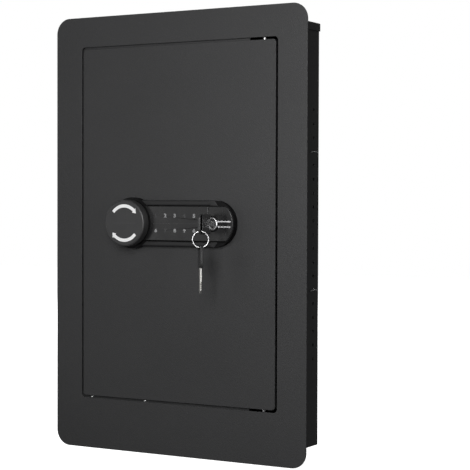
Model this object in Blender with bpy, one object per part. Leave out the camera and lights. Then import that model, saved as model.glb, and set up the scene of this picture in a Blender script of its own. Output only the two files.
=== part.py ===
"""A wall safe that fits between studs: a sheet-steel case behind a wide front flange, a flush door
on two pivot pins, and a lock with a turning knob, a touch keypad and an emergency key.

Metres. X runs to the right, Y runs into the wall and Z runs up. The origin is the centre of the
case's back. The door is shut and its bolts are drawn back.
"""

import math

import bmesh
import bpy
from mathutils import Matrix, Vector

# The case and its flange
CASE_WIDTH = 0.305
CASE_HEIGHT = 0.5314
OVERALL_DEPTH = 0.095
SHEET = 0.0015
GAP = 0.0003
FLANGE_SHEET = 0.002
FLANGE_SIDE_MARGIN = 0.0325
FLANGE_END_MARGIN = 0.0143
FLANGE_CORNER = 0.020
FLANGE_REAR_STEP = 0.0003
FLANGE_STEP_MARGIN = 0.0008
CAP_SKIRT = 0.0102
ANCHOR_HOLE_RADIUS = 0.005
ANCHOR_INSET_X = 0.0425
ANCHOR_INSET_Z = 0.0507

# The door, its opening and the jamb behind the flange
OPENING_INSET_SIDE = 0.0075
OPENING_INSET_TOP = 0.0245
OPENING_INSET_BOTTOM = 0.0509
OPENING_CORNER = 0.005
DOOR_GAP = 0.003
DOOR_THICKNESS = 0.004
DOOR_CORNER = 0.004
STOP_GAP = 0.0005
STOP_LAP = 0.005
JAMB_HINGE_CLEARANCE = 0.001
JAMB_RIM_INSET = 0.0002
RIVET_LEFT_INSET = 0.0103
RIVET_MID_X = -0.0488
RIVET_DOOR_GAP = 0.0003
RIVET_SHANK_RADIUS = 0.0012
RIVET_HEAD_RADIUS = 0.0019
RIVET_HEAD_HEIGHT = 0.0009
RIVET_CROWN = 0.7

# The two hinge pins, their lugs on the door and their tabs on the jamb
HINGE_INSET = 0.020
HINGE_DEPTH = 0.0055
PIN_RADIUS = 0.0025
PIN_STEP = 0.001
LUG_HALF_WIDTH = 0.008
LUG_HEIGHT = 0.0135
LUG_EDGE = 0.0005
LUG_BEHIND_PIN = 0.005
TAB_HALF_WIDTH = 0.010
TAB_THICKNESS = 0.003
TAB_DOOR_GAP = 0.0078
TAB_FRONT = 0.007
TAB_REAR = 0.0055
NOTCH_SIDE = 0.018

# The shelves and the wire clips that carry them
SHELF_HOLE_ROOM = 0.0005
SHELF_HOLE_COUNT = 19
SHELF_HOLE_PITCH = 0.01733
SHELF_HOLE_DROP = 0.1093
CLIP_REAR_EDGE = 0.003
CLIP_ROW_GAP = 0.001
SHELF_ROW_SETBACK = 0.010
UPPER_SHELF_HOLE = 3
LOWER_SHELF_HOLE = 13
SHELF_SHEET = 0.0012
SHELF_LIP = 0.010
SHELF_SIDE_GAP = 0.0015
SHELF_REAR_GAP = 0.0015
SHELF_COVER_GAP = 0.006
CLIP_WIRE_RADIUS = 0.00075
CLIP_ARM = 0.0105
CLIP_DROOP = 0.0015
CLIP_REACH = 0.012
CLIP_CORNER = 0.0011
CLIP_ARM_BENDS = ((1.0, 1.0), (0.72, 0.25))
CLIP_CORNER_BENDS = ((0, 1.6), (0.1, 0.7), (0.5, 0.2), (1.0, 0))
CLIP_TIP_BENDS = ((0.6, 1.0), (0.2, 0.7))

# The cover that closes the door's back, and its four screws
COVER_DEPTH = 0.0267
COVER_SHEET = 0.0012
COVER_LEFT_INSET = 0.014
COVER_HINGE_INSET = 0.014
COVER_JAMB_GAP = 0.002
SCREW_EDGE = 0.0003
SCREW_RADIUS = 0.0017
SCREW_HEAD_RADIUS = 0.0036
SCREW_HEAD_HEIGHT = 0.0022
SCREW_CROWN_HEIGHT = 0.0009
SCREW_CROWN_RADIUS = 0.0022
SCREW_BITE = 0.002
SCREW_INSET = 0.010

# The lock's housing, keypad and end cap on the door's face
LOCK_RISE = 0.0008
KNOB_X = -0.0614
KEY_X = 0.0610
HOUSING_RADIUS = 0.029
HOUSING_BASE = 0.008
PEDESTAL_MARGIN = 0.003
BAND_HALF_HEIGHT = 0.0215
BAND_PROUD = 0.0125
PANEL_THICKNESS = 0.001
HOUSING_WALL = 0.002
BAND_WALL = 0.003
HOLLOW_KNOB_INSET = 0.0114
HOLLOW_CAP_INSET = 0.008
CAP_SEAM_INSET = 0.0055
CAP_BOSS_WALL = 0.0021
BOARD_THICKNESS = 0.0016
BOARD_MARGIN = 0.002
BOARD_FRONT_GAP = 0.0007

# The knob, its spindle and its cam
KNOB_RADIUS = 0.0295
KNOB_THICKNESS = 0.012
KNOB_STANDOFF = 0.0005
KNOB_ROUNDING = 0.002
KNOB_ROUNDING_STEP = 0.0006
SPINDLE_RADIUS = 0.004
SPINDLE_CLEARANCE = 0.0006
CAM_EDGE = 0.0005
CAM_THICKNESS = 0.003
CAM_REAR = 0.020
CAM_PIN_RADIUS = 0.0025
CAM_PIN_OFFSET = 0.011
CAM_PIN_LENGTH = 0.005
CAM_REST_ANGLE = math.radians(45)

# The boltwork
BOLT_RADIUS = 0.007
BOLT_END_INSET = 0.0602
BOLT_DOOR_GAP = 0.005
BOLT_TIP_INSET = 0.008
BOLT_CHAMFER = 0.0015
BOLT_HOLE_CLEARANCE = 0.0003
BAR_THICKNESS = 0.003
BAR_END = 0.010
BAR_CAM_GAP = 0.0005
BAR_LAP = 0.001
ARM_GAP = 0.001
ARM_WALL = 0.0045
YOKE_SLACK = 0.00064
GUIDE_THICKNESS = 0.003
GUIDE_WALL_GAP = 0.0028
GUIDE_END = 0.015

# The key lock
CYLINDER_RADIUS = 0.0084
CYLINDER_PROUD = 0.003
CYLINDER_REAR = 0.011
NUT_WALL = 0.0036
NUT_THICKNESS = 0.0045
PLUG_RADIUS = 0.005
PLUG_SETBACK = 0.0005
PLUG_TAIL = 0.0015
KEYWAY_ROOM = 0.001
KEY_BLADE_HALF_THICKNESS = 0.001
KEY_BLADE_HALF_HEIGHT = 0.0038
KEY_BLADE_INSERTED = 0.025
KEY_BLADE_LENGTH = 0.031
KEY_CUT_PITCH_SHARE = 1 / 12
KEY_CUT_DEPTHS = (0.45, 0.2, 0.55, 0.3, 0.5)
KEY_HEAD_STANDOFF = 0.001
KEY_HEAD_LENGTH = 0.028
KEY_HEAD_HALF_WIDTH = 0.0125
KEY_HEAD_HALF_THICKNESS = 0.00175
KEY_HEAD_CORNER = 0.006
KEY_SLOT_EDGE = 0.0022
KEY_SLOT_ROOM = 0.0023
KEY_SLOT_FLAT = 0.0002
KEY_SLOT_END = 0.0021
KEY_CAM_EDGE = 0.00046
KEY_CAM_THICKNESS = 0.003
KEY_CAM_PIN_RADIUS = 0.0015
KEY_CAM_PIN_OFFSET = 0.00354
KEY_CAM_PIN_LENGTH = 0.005
RING_RADIUS = 0.00975
RING_WIRE_RADIUS = 0.0008
RING_TURN = math.radians(28)
RING_SLOT_GAP = 0.00035
SPARE_TURN = math.radians(40)

# The lock slide, the solenoid, the batteries and the reset button
SLIDE_THICKNESS = 0.003
SLIDE_ARM_GAP = 0.00186
SLIDE_HEIGHT = 0.0115
SLIDE_KNOB_INSET = 0.0094
SLIDE_RIGHT_REACH = 0.011
SLIDE_LEG_LEFT_REACH = 0.011
SLIDE_LEG_DROP = 0.010
SLIDE_SLOT_SLACK = 0.0004
SLIDE_CAM_GAP = 0.0012
SOLENOID_X = 0.015
SOLENOID_HALF_WIDTH = 0.010
SOLENOID_LIFT = 0.010
SOLENOID_HEIGHT = 0.028
SOLENOID_FRONT_GAP = 0.001
SOLENOID_REAR_GAP = 0.0008
PLUNGER_RADIUS = 0.003
PLUNGER_LENGTH = 0.022
BATTERY_RADIUS = 0.00725
BATTERY_LENGTH = 0.0505
BATTERY_NUB_RADIUS = 0.0027
BATTERY_NUB = 0.001
BATTERY_COUNT = 4
BATTERY_GAP = 0.0007
BATTERY_END_ROOM = 0.0017
BOX_WALL = 0.002
BOX_HINGE_INSET = 0.022
BOX_RISE = 0.047
BATTERY_REAR_ROOM = 0.0011
LID_THICKNESS = 0.0015
LID_LAP = 0.003
LID_GRIPS = 3
LID_GRIP_HEIGHT = 0.0012
LID_GRIP_PITCH = 0.004
LID_GRIP_PROUD = 0.0008
RESET_RADIUS = 0.004
RESET_INSET = 0.018
RESET_RISE = 0.046
RESET_PROUD = 0.0025
RESET_STEM = 0.008

# Places that follow from the sizes above
FRONT = -OVERALL_DEPTH
FLANGE_REAR = FRONT + FLANGE_SHEET
CASE_SIDE = CASE_WIDTH / 2
CASE_TOP = CASE_HEIGHT / 2
WALL_INNER = CASE_SIDE - SHEET
CAP_UNDER = CASE_TOP - SHEET
BACK_FRONT = -SHEET
OPENING_SIDE = CASE_SIDE - OPENING_INSET_SIDE
OPENING_TOP = CASE_TOP - OPENING_INSET_TOP
OPENING_BOTTOM = OPENING_INSET_BOTTOM - CASE_TOP
DOOR_SIDE = OPENING_SIDE - DOOR_GAP
DOOR_TOP = OPENING_TOP - DOOR_GAP
DOOR_BOTTOM = OPENING_BOTTOM + DOOR_GAP
DOOR_REAR = FRONT + DOOR_THICKNESS
DOOR_CENTRE = (DOOR_TOP + DOOR_BOTTOM) / 2
JAMB_FRONT = DOOR_REAR + STOP_GAP
JAMB_REAR = JAMB_FRONT + SHEET
RIVET_RISE = DOOR_GAP - RIVET_HEAD_RADIUS - RIVET_DOOR_GAP
HINGE_X = DOOR_SIDE - HINGE_INSET
HINGE_Y = DOOR_REAR + HINGE_DEPTH
TAB_UNDER_TOP = DOOR_TOP + TAB_DOOR_GAP
TAB_OVER_BOTTOM = DOOR_BOTTOM - TAB_DOOR_GAP
COVER_LEFT = COVER_LEFT_INSET - DOOR_SIDE
COVER_RIGHT = HINGE_X - COVER_HINGE_INSET
COVER_FLANGE = 2 * (SCREW_HEAD_RADIUS + SCREW_EDGE)
COVER_END_INSET = STOP_LAP + COVER_JAMB_GAP + COVER_FLANGE
COVER_TOP = DOOR_TOP - COVER_END_INSET
COVER_BOTTOM = DOOR_BOTTOM + COVER_END_INSET
COVER_FRONT = DOOR_REAR + GAP
COVER_REAR = COVER_FRONT + COVER_DEPTH
COVER_INSIDE = COVER_REAR - COVER_SHEET
LOCK_Z = DOOR_CENTRE + LOCK_RISE
BASE_REAR = FRONT - GAP
BASE_FACE = BASE_REAR - HOUSING_BASE + GAP
BAND_FACE = FRONT - BAND_PROUD
PANEL_REAR = BAND_FACE + PANEL_THICKNESS
HOUSING_FACE = PANEL_REAR + GAP
SEAM_X = KEY_X - CAP_SEAM_INSET
HOLLOW_HALF_HEIGHT = BAND_HALF_HEIGHT - BAND_WALL
PEDESTAL_RADIUS = KNOB_RADIUS + PEDESTAL_MARGIN
CAP_BOSS_RADIUS = CYLINDER_RADIUS + CAP_BOSS_WALL
KNOB_REAR = BAND_FACE - KNOB_STANDOFF
KNOB_FACE = KNOB_REAR - KNOB_THICKNESS
CAM_BACK = FRONT + CAM_REAR
CAM_FRONT = CAM_BACK - CAM_THICKNESS
CAM_RADIUS = CAM_PIN_OFFSET + CAM_PIN_RADIUS + CAM_EDGE
CAM_PIN_X = CAM_PIN_OFFSET * math.sin(CAM_REST_ANGLE)
CAM_PIN_Z = CAM_PIN_OFFSET * math.cos(CAM_REST_ANGLE)
BOLT_Y = DOOR_REAR + BOLT_DOOR_GAP + BOLT_RADIUS
BOLT_SPREAD = COVER_TOP - DOOR_CENTRE - BOLT_END_INSET
BAR_RIGHT = KNOB_X - CAM_RADIUS - BAR_CAM_GAP
BAR_LEFT = BAR_RIGHT - BAR_THICKNESS
BAR_FRONT = BOLT_Y - BOLT_RADIUS - BAR_LAP
ARM_FRONT = CAM_BACK + ARM_GAP
ARM_REAR = ARM_FRONT + SLIDE_THICKNESS
SLOT_HALF = CAM_PIN_RADIUS + YOKE_SLACK
ARM_TOP = CAM_PIN_OFFSET + SLOT_HALF + ARM_WALL
BOLT_TIP = BOLT_TIP_INSET - DOOR_SIDE
BOLT_HEIGHTS = [DOOR_CENTRE + side * BOLT_SPREAD for side in (1, 0, -1)]
BOLT_HOLE_RADIUS = BOLT_RADIUS + BOLT_HOLE_CLEARANCE
GUIDE_LEFT = COVER_LEFT + COVER_SHEET + GUIDE_WALL_GAP
CYLINDER_FACE = BAND_FACE - CYLINDER_PROUD
CYLINDER_BACK = DOOR_REAR + CYLINDER_REAR
CYLINDER_HOLE_RADIUS = CYLINDER_RADIUS + GAP
CYLINDER_BORE_RADIUS = PLUG_RADIUS + GAP
NUT_ACROSS_FLATS = 2 * (CYLINDER_RADIUS + NUT_WALL)
PLUG_FACE = CYLINDER_FACE + PLUG_SETBACK
PLUG_BACK = CYLINDER_BACK + PLUG_TAIL
KEYWAY_DEPTH = KEY_BLADE_INSERTED + KEYWAY_ROOM
KEY_HEAD_REAR = CYLINDER_FACE - KEY_HEAD_STANDOFF
KEY_HEAD_FACE = KEY_HEAD_REAR - KEY_HEAD_LENGTH
KEY_SLOT_WIDTH = 2 * RING_WIRE_RADIUS + KEY_SLOT_ROOM
KEY_SLOT_CORNER = KEY_SLOT_WIDTH / 2 - KEY_SLOT_FLAT
KEY_SLOT_HALF_LENGTH = KEY_HEAD_HALF_WIDTH - KEY_SLOT_END
KEY_SLOT_Y = KEY_HEAD_FACE + KEY_SLOT_EDGE + KEY_SLOT_WIDTH / 2
KEY_CAM_FRONT = PLUG_BACK + GAP
KEY_CAM_BACK = KEY_CAM_FRONT + KEY_CAM_THICKNESS
KEY_CAM_RADIUS = KEY_CAM_PIN_OFFSET + KEY_CAM_PIN_RADIUS + KEY_CAM_EDGE
SLIDE_FRONT = KEY_CAM_BACK + SLIDE_CAM_GAP
SLIDE_REAR = SLIDE_FRONT + SLIDE_THICKNESS
SLIDE_BOTTOM = ARM_TOP + SLIDE_ARM_GAP
SLIDE_LEFT = KNOB_X + SLIDE_KNOB_INSET
RING_TOP_Z = LOCK_Z - KEY_SLOT_HALF_LENGTH + RING_WIRE_RADIUS * 2
RING_CENTRE = Vector((KEY_X, KEY_SLOT_Y, RING_TOP_Z - RING_RADIUS))
RING_TANGENT = Vector((math.cos(RING_TURN), math.sin(RING_TURN), 0))
SPARE_SIDE = Vector((math.cos(SPARE_TURN), math.sin(SPARE_TURN), 0))
SPARE_FACING = Vector((-math.sin(SPARE_TURN), math.cos(SPARE_TURN), 0))
SPARE_SLOT_TOP = RING_CENTRE.z - RING_RADIUS + RING_WIRE_RADIUS + RING_SLOT_GAP
SPARE_SLOT_Z = SPARE_SLOT_TOP - KEY_SLOT_WIDTH / 2
SHELF_FRONT = COVER_REAR + SHELF_COVER_GAP
SHELF_HOLE_RADIUS = 2 * CLIP_WIRE_RADIUS + SHELF_HOLE_ROOM
SHELF_ROWS = (SHELF_FRONT + SHELF_ROW_SETBACK, -CLIP_ARM - CLIP_REAR_EDGE)
CLIP_ARM_LENGTH = min(CLIP_ARM, (SHELF_ROWS[1] - SHELF_ROWS[0]) / 2 - CLIP_ROW_GAP)
BOX_RIGHT = COVER_RIGHT - BOX_HINGE_INSET
BATTERY_PITCH = 2 * BATTERY_RADIUS + BATTERY_GAP
BOX_HALF_WIDTH = BATTERY_COUNT * BATTERY_PITCH / 2 + BOX_WALL + GAP
BOX_X = BOX_RIGHT - BOX_HALF_WIDTH
BOX_BOTTOM = COVER_BOTTOM + BOX_RISE
BOX_TOP = BOX_BOTTOM + BATTERY_LENGTH + BATTERY_NUB + 2 * (BOX_WALL + BATTERY_END_ROOM)
BATTERY_Y = COVER_INSIDE - BATTERY_REAR_ROOM - BATTERY_RADIUS
BOX_REAR = COVER_INSIDE - GAP
BOX_FRONT = BATTERY_Y - BATTERY_RADIUS - GAP - BOX_WALL
RESET_X = COVER_RIGHT - RESET_INSET
RESET_Z = LOCK_Z + RESET_RISE

FINISHES = {
    "powder_coat": ((0.036, 0.036, 0.038), 0.55, 0.0),
    "bare_steel": ((0.55, 0.55, 0.56), 0.35, 1.0),
    "zinc_plate": ((0.62, 0.62, 0.60), 0.30, 1.0),
    "lock_plastic": ((0.030, 0.030, 0.032), 0.45, 0.0),
    "keypad_gloss": ((0.020, 0.020, 0.022), 0.15, 0.0),
    "chrome": ((0.80, 0.80, 0.81), 0.10, 1.0),
    "key_steel": ((0.75, 0.74, 0.70), 0.25, 1.0),
    "key_plastic": ((0.018, 0.018, 0.020), 0.40, 0.0),
    "circuit_board": ((0.02, 0.12, 0.05), 0.50, 0.0),
    "battery_sleeve": ((0.05, 0.10, 0.30), 0.40, 0.0),
    "solenoid_case": ((0.10, 0.10, 0.11), 0.45, 0.6),
    "reset_red": ((0.55, 0.03, 0.03), 0.40, 0.0),
}


def clear_scene():
    for obj in list(bpy.data.objects):
        bpy.data.objects.remove(obj, do_unlink=True)


def make_materials():
    made = {}
    for name, (colour, roughness, metallic) in FINISHES.items():
        finish = bpy.data.materials.new(name)
        finish.use_nodes = True
        shader = finish.node_tree.nodes["Principled BSDF"]
        shader.inputs["Base Color"].default_value = (*colour, 1.0)
        shader.inputs["Roughness"].default_value = roughness
        shader.inputs["Metallic"].default_value = metallic
        made[name] = finish
    return made


def pivot(name, place, parent=None):
    """An empty on a joint's axis, which the body's pieces are parented to."""
    empty = bpy.data.objects.new(name, None)
    bpy.context.collection.objects.link(empty)
    empty["place"] = tuple(place)
    return hang(empty, Vector(place), parent)


def hang(obj, place, parent):
    """Put the object's origin at a world place, under a parent that isn't turned."""
    obj.location = place - Vector(parent["place"]) if parent else place
    obj.parent = parent
    return obj


# Outlines are lists of (u, v) points. Along X they are (y, z), along Y (x, z), along Z (x, y).


def arc(u, v, radius, start, end, steps):
    turn = (end - start) / steps
    return [
        (u + radius * math.cos(start + turn * i), v + radius * math.sin(start + turn * i))
        for i in range(steps + 1)
    ]


def circle(u, v, radius, sides=24):
    return arc(u, v, radius, 0, math.tau, sides)[:-1]


def rectangle(u0, u1, v0, v1, corner=0.0, steps=5):
    if not corner:
        return [(u0, v0), (u1, v0), (u1, v1), (u0, v1)]
    quarter = math.pi / 2
    points = []
    corners = ((u1, v0, -1, 1), (u1, v1, -1, -1), (u0, v1, 1, -1), (u0, v0, 1, 1))
    for turn, (u, v, side_u, side_v) in enumerate(corners):
        centre = (u + side_u * corner, v + side_v * corner)
        start = quarter * (turn - 1)
        points += arc(*centre, corner, start, start + quarter, steps)
    return points


def extrude(outline, axis, start, end, holes=(), bm=None):
    """A closed solid: the outline, less its holes, drawn out along an axis from start to end."""
    bm = bm or bmesh.new()
    place = {
        "X": lambda u, v: (start, u, v),
        "Y": lambda u, v: (u, start, v),
        "Z": lambda u, v: (u, v, start),
    }[axis]
    edges = []
    for loop in (outline, *holes):
        verts = [bm.verts.new(place(u, v)) for u, v in loop]
        edges += [bm.edges.new((verts[i - 1], vert)) for i, vert in enumerate(verts)]
    filled = bmesh.ops.triangle_fill(bm, edges=edges, use_beauty=True, use_dissolve=False)
    faces = [item for item in filled["geom"] if isinstance(item, bmesh.types.BMFace)]
    drawn = bmesh.ops.extrude_face_region(bm, geom=faces)
    moved = [item for item in drawn["geom"] if isinstance(item, bmesh.types.BMVert)]
    travel = Vector([end - start if letter == axis else 0 for letter in "XYZ"])
    bmesh.ops.translate(bm, verts=moved, vec=travel)
    bmesh.ops.recalc_face_normals(bm, faces=bm.faces)
    return bm


def box(x0, x1, y0, y1, z0, z1, bm=None):
    return extrude(rectangle(x0, x1, z0, z1), "Y", y0, y1, bm=bm)


def turned(profile, axis, centre, sides=32):
    """A solid of revolution. The profile is (distance from the axis, place along it), end to end."""
    bm = bmesh.new()
    along = Vector([1.0 if letter == axis else 0.0 for letter in "XYZ"])
    across = Vector((0, 0, 1)) if axis != "Z" else Vector((1, 0, 0))
    verts = [bm.verts.new(Vector(centre) + across * r + along * w) for r, w in profile]
    edges = [bm.edges.new(pair) for pair in zip(verts, verts[1:])]
    bmesh.ops.spin(
        bm, geom=verts + edges, cent=centre, axis=along, angle=math.tau, steps=sides,
        use_merge=True,
    )
    bmesh.ops.remove_doubles(bm, verts=bm.verts, dist=1e-6)
    bmesh.ops.holes_fill(bm, edges=bm.edges, sides=0)
    bmesh.ops.recalc_face_normals(bm, faces=bm.faces)
    return bm


def solid(name, bm, finish, origin=(0, 0, 0), parent=None, smooth=False):
    """Make the mesh an object whose own origin is at the given world place."""
    place = Vector(origin)
    bmesh.ops.translate(bm, verts=bm.verts, vec=-place)
    mesh = bpy.data.meshes.new(name)
    bm.to_mesh(mesh)
    bm.free()
    mesh.materials.append(MATERIALS[finish])
    if smooth:
        mesh.shade_smooth()
        mesh.set_sharp_from_angle(angle=math.radians(35))
    obj = bpy.data.objects.new(name, mesh)
    bpy.context.collection.objects.link(obj)
    return hang(obj, place, parent)


def combine(bm, tool, operation):
    """Join the tool to the mesh, cut it away or keep what they share. Both are used up."""
    made = []
    for index, part in enumerate((bm, tool)):
        mesh = bpy.data.meshes.new(f"combine_{index}")
        part.to_mesh(mesh)
        part.free()
        made.append(bpy.data.objects.new(f"combine_{index}", mesh))
        bpy.context.collection.objects.link(made[-1])
    modifier = made[0].modifiers.new("Combine", "BOOLEAN")
    modifier.operation = operation
    modifier.solver = "EXACT"
    modifier.object = made[1]
    graph = bpy.context.evaluated_depsgraph_get()
    result = bmesh.new()
    result.from_object(made[0], graph)
    bmesh.ops.remove_doubles(result, verts=result.verts, dist=1e-6)
    for obj in made:
        mesh = obj.data
        bpy.data.objects.remove(obj, do_unlink=True)
        bpy.data.meshes.remove(mesh)
    return result


def cut(bm, tool):
    return combine(bm, tool, "DIFFERENCE")


def join(bm, tool):
    return combine(bm, tool, "UNION")


def rod(axis, centre, radius, start, end, sides=24):
    """A round bar along an axis through the centre, from start to end on that axis."""
    index = "XYZ".index(axis)
    base = [0 if place == index else value for place, value in enumerate(centre)]
    return turned([(0, start), (radius, start), (radius, end), (0, end)], axis, base, sides)


def wire(name, points, radius, finish, closed=False, parent=None, origin=(0, 0, 0)):
    """Round wire bent along the points."""
    place = Vector(origin)
    curve = bpy.data.curves.new(name, "CURVE")
    curve.dimensions = "3D"
    curve.bevel_depth = radius
    curve.bevel_resolution = 2
    curve.use_fill_caps = True
    spline = curve.splines.new("POLY")
    spline.points.add(len(points) - 1)
    for point, target in zip(spline.points, points):
        point.co = (*(Vector(target) - place), 1.0)
    spline.use_cyclic_u = closed
    curve.materials.append(MATERIALS[finish])
    obj = bpy.data.objects.new(name, curve)
    bpy.context.collection.objects.link(obj)
    return hang(obj, place, parent)


def build_case():
    anchor_x = CASE_SIDE - ANCHOR_INSET_X
    anchor_z = CASE_TOP - ANCHOR_INSET_Z
    anchors = [
        circle(side * anchor_x, end * anchor_z, ANCHOR_HOLE_RADIUS, 20)
        for side in (-1, 1)
        for end in (-1, 1)
    ]
    walls_top = CAP_UNDER - GAP
    back = rectangle(-CASE_SIDE, CASE_SIDE, -CASE_TOP, walls_top)
    solid("back_panel", extrude(back, "Y", BACK_FRONT, 0, anchors), "powder_coat")

    holes = [
        circle(row, CASE_TOP - SHELF_HOLE_DROP - step * SHELF_HOLE_PITCH, SHELF_HOLE_RADIUS, 8)
        for row in SHELF_ROWS
        for step in range(SHELF_HOLE_COUNT)
    ]
    wall = rectangle(FLANGE_REAR, BACK_FRONT - GAP, -CASE_TOP, walls_top)
    for name, side in (("side_wall_left", -1), ("side_wall_right", 1)):
        panel = extrude(wall, "X", side * WALL_INNER, side * CASE_SIDE, holes)
        solid(name, panel, "powder_coat")

    skirt_in = CASE_SIDE + GAP
    skirt_out = skirt_in + SHEET
    skirt_end = CASE_TOP - CAP_SKIRT
    cap = [
        (-skirt_out, skirt_end), (-skirt_in, skirt_end), (-skirt_in, CAP_UNDER),
        (skirt_in, CAP_UNDER), (skirt_in, skirt_end), (skirt_out, skirt_end),
        (skirt_out, CASE_TOP), (-skirt_out, CASE_TOP),
    ]
    solid("top_cap", extrude(cap, "Y", FLANGE_REAR, 0), "powder_coat")
    floor_side = WALL_INNER - GAP
    floor = box(-floor_side, floor_side, FLANGE_REAR, BACK_FRONT - GAP, -CASE_TOP, -CAP_UNDER)
    solid("bottom_plate", floor, "powder_coat")


def build_front_frame():
    side = CASE_SIDE + FLANGE_SIDE_MARGIN
    top = CASE_TOP + FLANGE_END_MARGIN
    outline = rectangle(-side, side, -top, top, FLANGE_CORNER, 8)
    opening = rectangle(
        -OPENING_SIDE, OPENING_SIDE, OPENING_BOTTOM, OPENING_TOP, OPENING_CORNER, 4
    )
    frame = extrude(outline, "Y", FRONT, FLANGE_REAR, [opening])
    step_side = CASE_SIDE + GAP + SHEET + FLANGE_STEP_MARGIN
    step_top = CASE_TOP + FLANGE_STEP_MARGIN
    step = box(
        -step_side, step_side, FLANGE_REAR - FLANGE_REAR_STEP, FLANGE_REAR + SHEET,
        -step_top, step_top,
    )
    solid("front_frame", cut(frame, step), "powder_coat")


def rivet_places():
    height = OPENING_BOTTOM + RIVET_RISE
    return {
        "stop_rivet_left": (RIVET_LEFT_INSET - DOOR_SIDE, height),
        "stop_rivet_mid": (RIVET_MID_X, height),
    }


def hinge_tab(low):
    """A tab with a hole for a hinge pin, welded across the jamb."""
    outline = rectangle(
        HINGE_X - TAB_HALF_WIDTH, HINGE_X + TAB_HALF_WIDTH, HINGE_Y - TAB_FRONT, HINGE_Y + TAB_REAR
    )
    hole = circle(HINGE_X, HINGE_Y, PIN_RADIUS + GAP, 16)
    return extrude(outline, "Z", low, low + TAB_THICKNESS, [hole])


def build_jamb():
    side = WALL_INNER - GAP
    top = CAP_UNDER - GAP
    left = STOP_LAP - DOOR_SIDE
    right = OPENING_SIDE + JAMB_HINGE_CLEARANCE
    high, low = DOOR_TOP - STOP_LAP, DOOR_BOTTOM + STOP_LAP
    notch = HINGE_X - NOTCH_SIDE
    notch_high = TAB_UNDER_TOP + TAB_THICKNESS / 2
    notch_low = TAB_OVER_BOTTOM - TAB_THICKNESS / 2
    aperture = [
        (left, low), (notch, low), (notch, notch_low), (right, notch_low),
        (right, notch_high), (notch, notch_high), (notch, high), (left, high),
    ]
    rivet_holes = [
        circle(x, z, RIVET_SHANK_RADIUS + GAP, 12) for x, z in rivet_places().values()
    ]
    jamb = extrude(
        rectangle(-side, side, -top, top), "Y", JAMB_FRONT, JAMB_REAR, [aperture, *rivet_holes]
    )
    rim_side, rim_top = side - JAMB_RIM_INSET, top - JAMB_RIM_INSET
    rim = extrude(
        rectangle(-rim_side, rim_side, -rim_top, rim_top), "Y",
        FLANGE_REAR, JAMB_REAR - SHEET / 3,
        [rectangle(SHEET - rim_side, rim_side - SHEET, SHEET - rim_top, rim_top - SHEET)],
    )
    jamb = join(jamb, rim)
    jamb = join(jamb, hinge_tab(TAB_UNDER_TOP))
    jamb = join(jamb, hinge_tab(TAB_OVER_BOTTOM - TAB_THICKNESS))
    solid("door_jamb", jamb, "powder_coat")

    head_gap = GAP / 2
    for name, (x, z) in rivet_places().items():
        front = JAMB_FRONT - head_gap
        rear = JAMB_REAR + head_gap
        profile = [
            (0, front - RIVET_HEAD_HEIGHT),
            (RIVET_HEAD_RADIUS * RIVET_CROWN, front - RIVET_HEAD_HEIGHT),
            (RIVET_HEAD_RADIUS, front),
            (RIVET_SHANK_RADIUS, front),
            (RIVET_SHANK_RADIUS, rear),
            (RIVET_HEAD_RADIUS, rear),
            (RIVET_HEAD_RADIUS * RIVET_CROWN, rear + RIVET_HEAD_HEIGHT),
            (0, rear + RIVET_HEAD_HEIGHT),
        ]
        solid(name, turned(profile, "Y", (x, 0, z), 12), "zinc_plate", (x, front, z), smooth=True)

    low_end = TAB_OVER_BOTTOM - TAB_THICKNESS - PIN_STEP
    pin = rod("Z", (HINGE_X, HINGE_Y, 0), PIN_RADIUS, low_end, lug_span(-1)[1] - PIN_STEP, 16)
    solid("hinge_pin_bottom", pin, "bare_steel", (HINGE_X, HINGE_Y, low_end), smooth=True)


def lug_span(end):
    """The lowest and highest point of the door's top (1) or bottom (-1) lug."""
    if end > 0:
        return DOOR_TOP - LUG_EDGE - LUG_HEIGHT, DOOR_TOP - LUG_EDGE
    return DOOR_BOTTOM + LUG_EDGE, DOOR_BOTTOM + LUG_EDGE + LUG_HEIGHT


def clip_points(side, row, height):
    """Half a clip's bends, from the end of one arm to the tip of the prong, and then the other.

    The arm's bends are shares of its length and droop. The corner's bends are shares of its size,
    inwards and along the wall. The tip's bends are shares of half the prong's width.
    """
    reach = CLIP_WIRE_RADIUS + GAP
    outside = CASE_SIDE + reach
    narrow = SHELF_HOLE_RADIUS - reach
    tip = WALL_INNER - CLIP_REACH
    half = [(outside, CLIP_ARM_LENGTH * along, -CLIP_DROOP * down) for along, down in CLIP_ARM_BENDS]
    half += [
        (outside - CLIP_CORNER * inward, narrow + CLIP_CORNER * along, 0)
        for inward, along in CLIP_CORNER_BENDS
    ]
    half += [(tip + narrow * outward, narrow * wide, 0) for outward, wide in CLIP_TIP_BENDS]
    out = [(side * x, row + y, height + z) for x, y, z in half]
    back = [(side * x, row - y, height + z) for x, y, z in reversed(half)]
    return [*out, (side * tip, row, height), *back]


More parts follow.
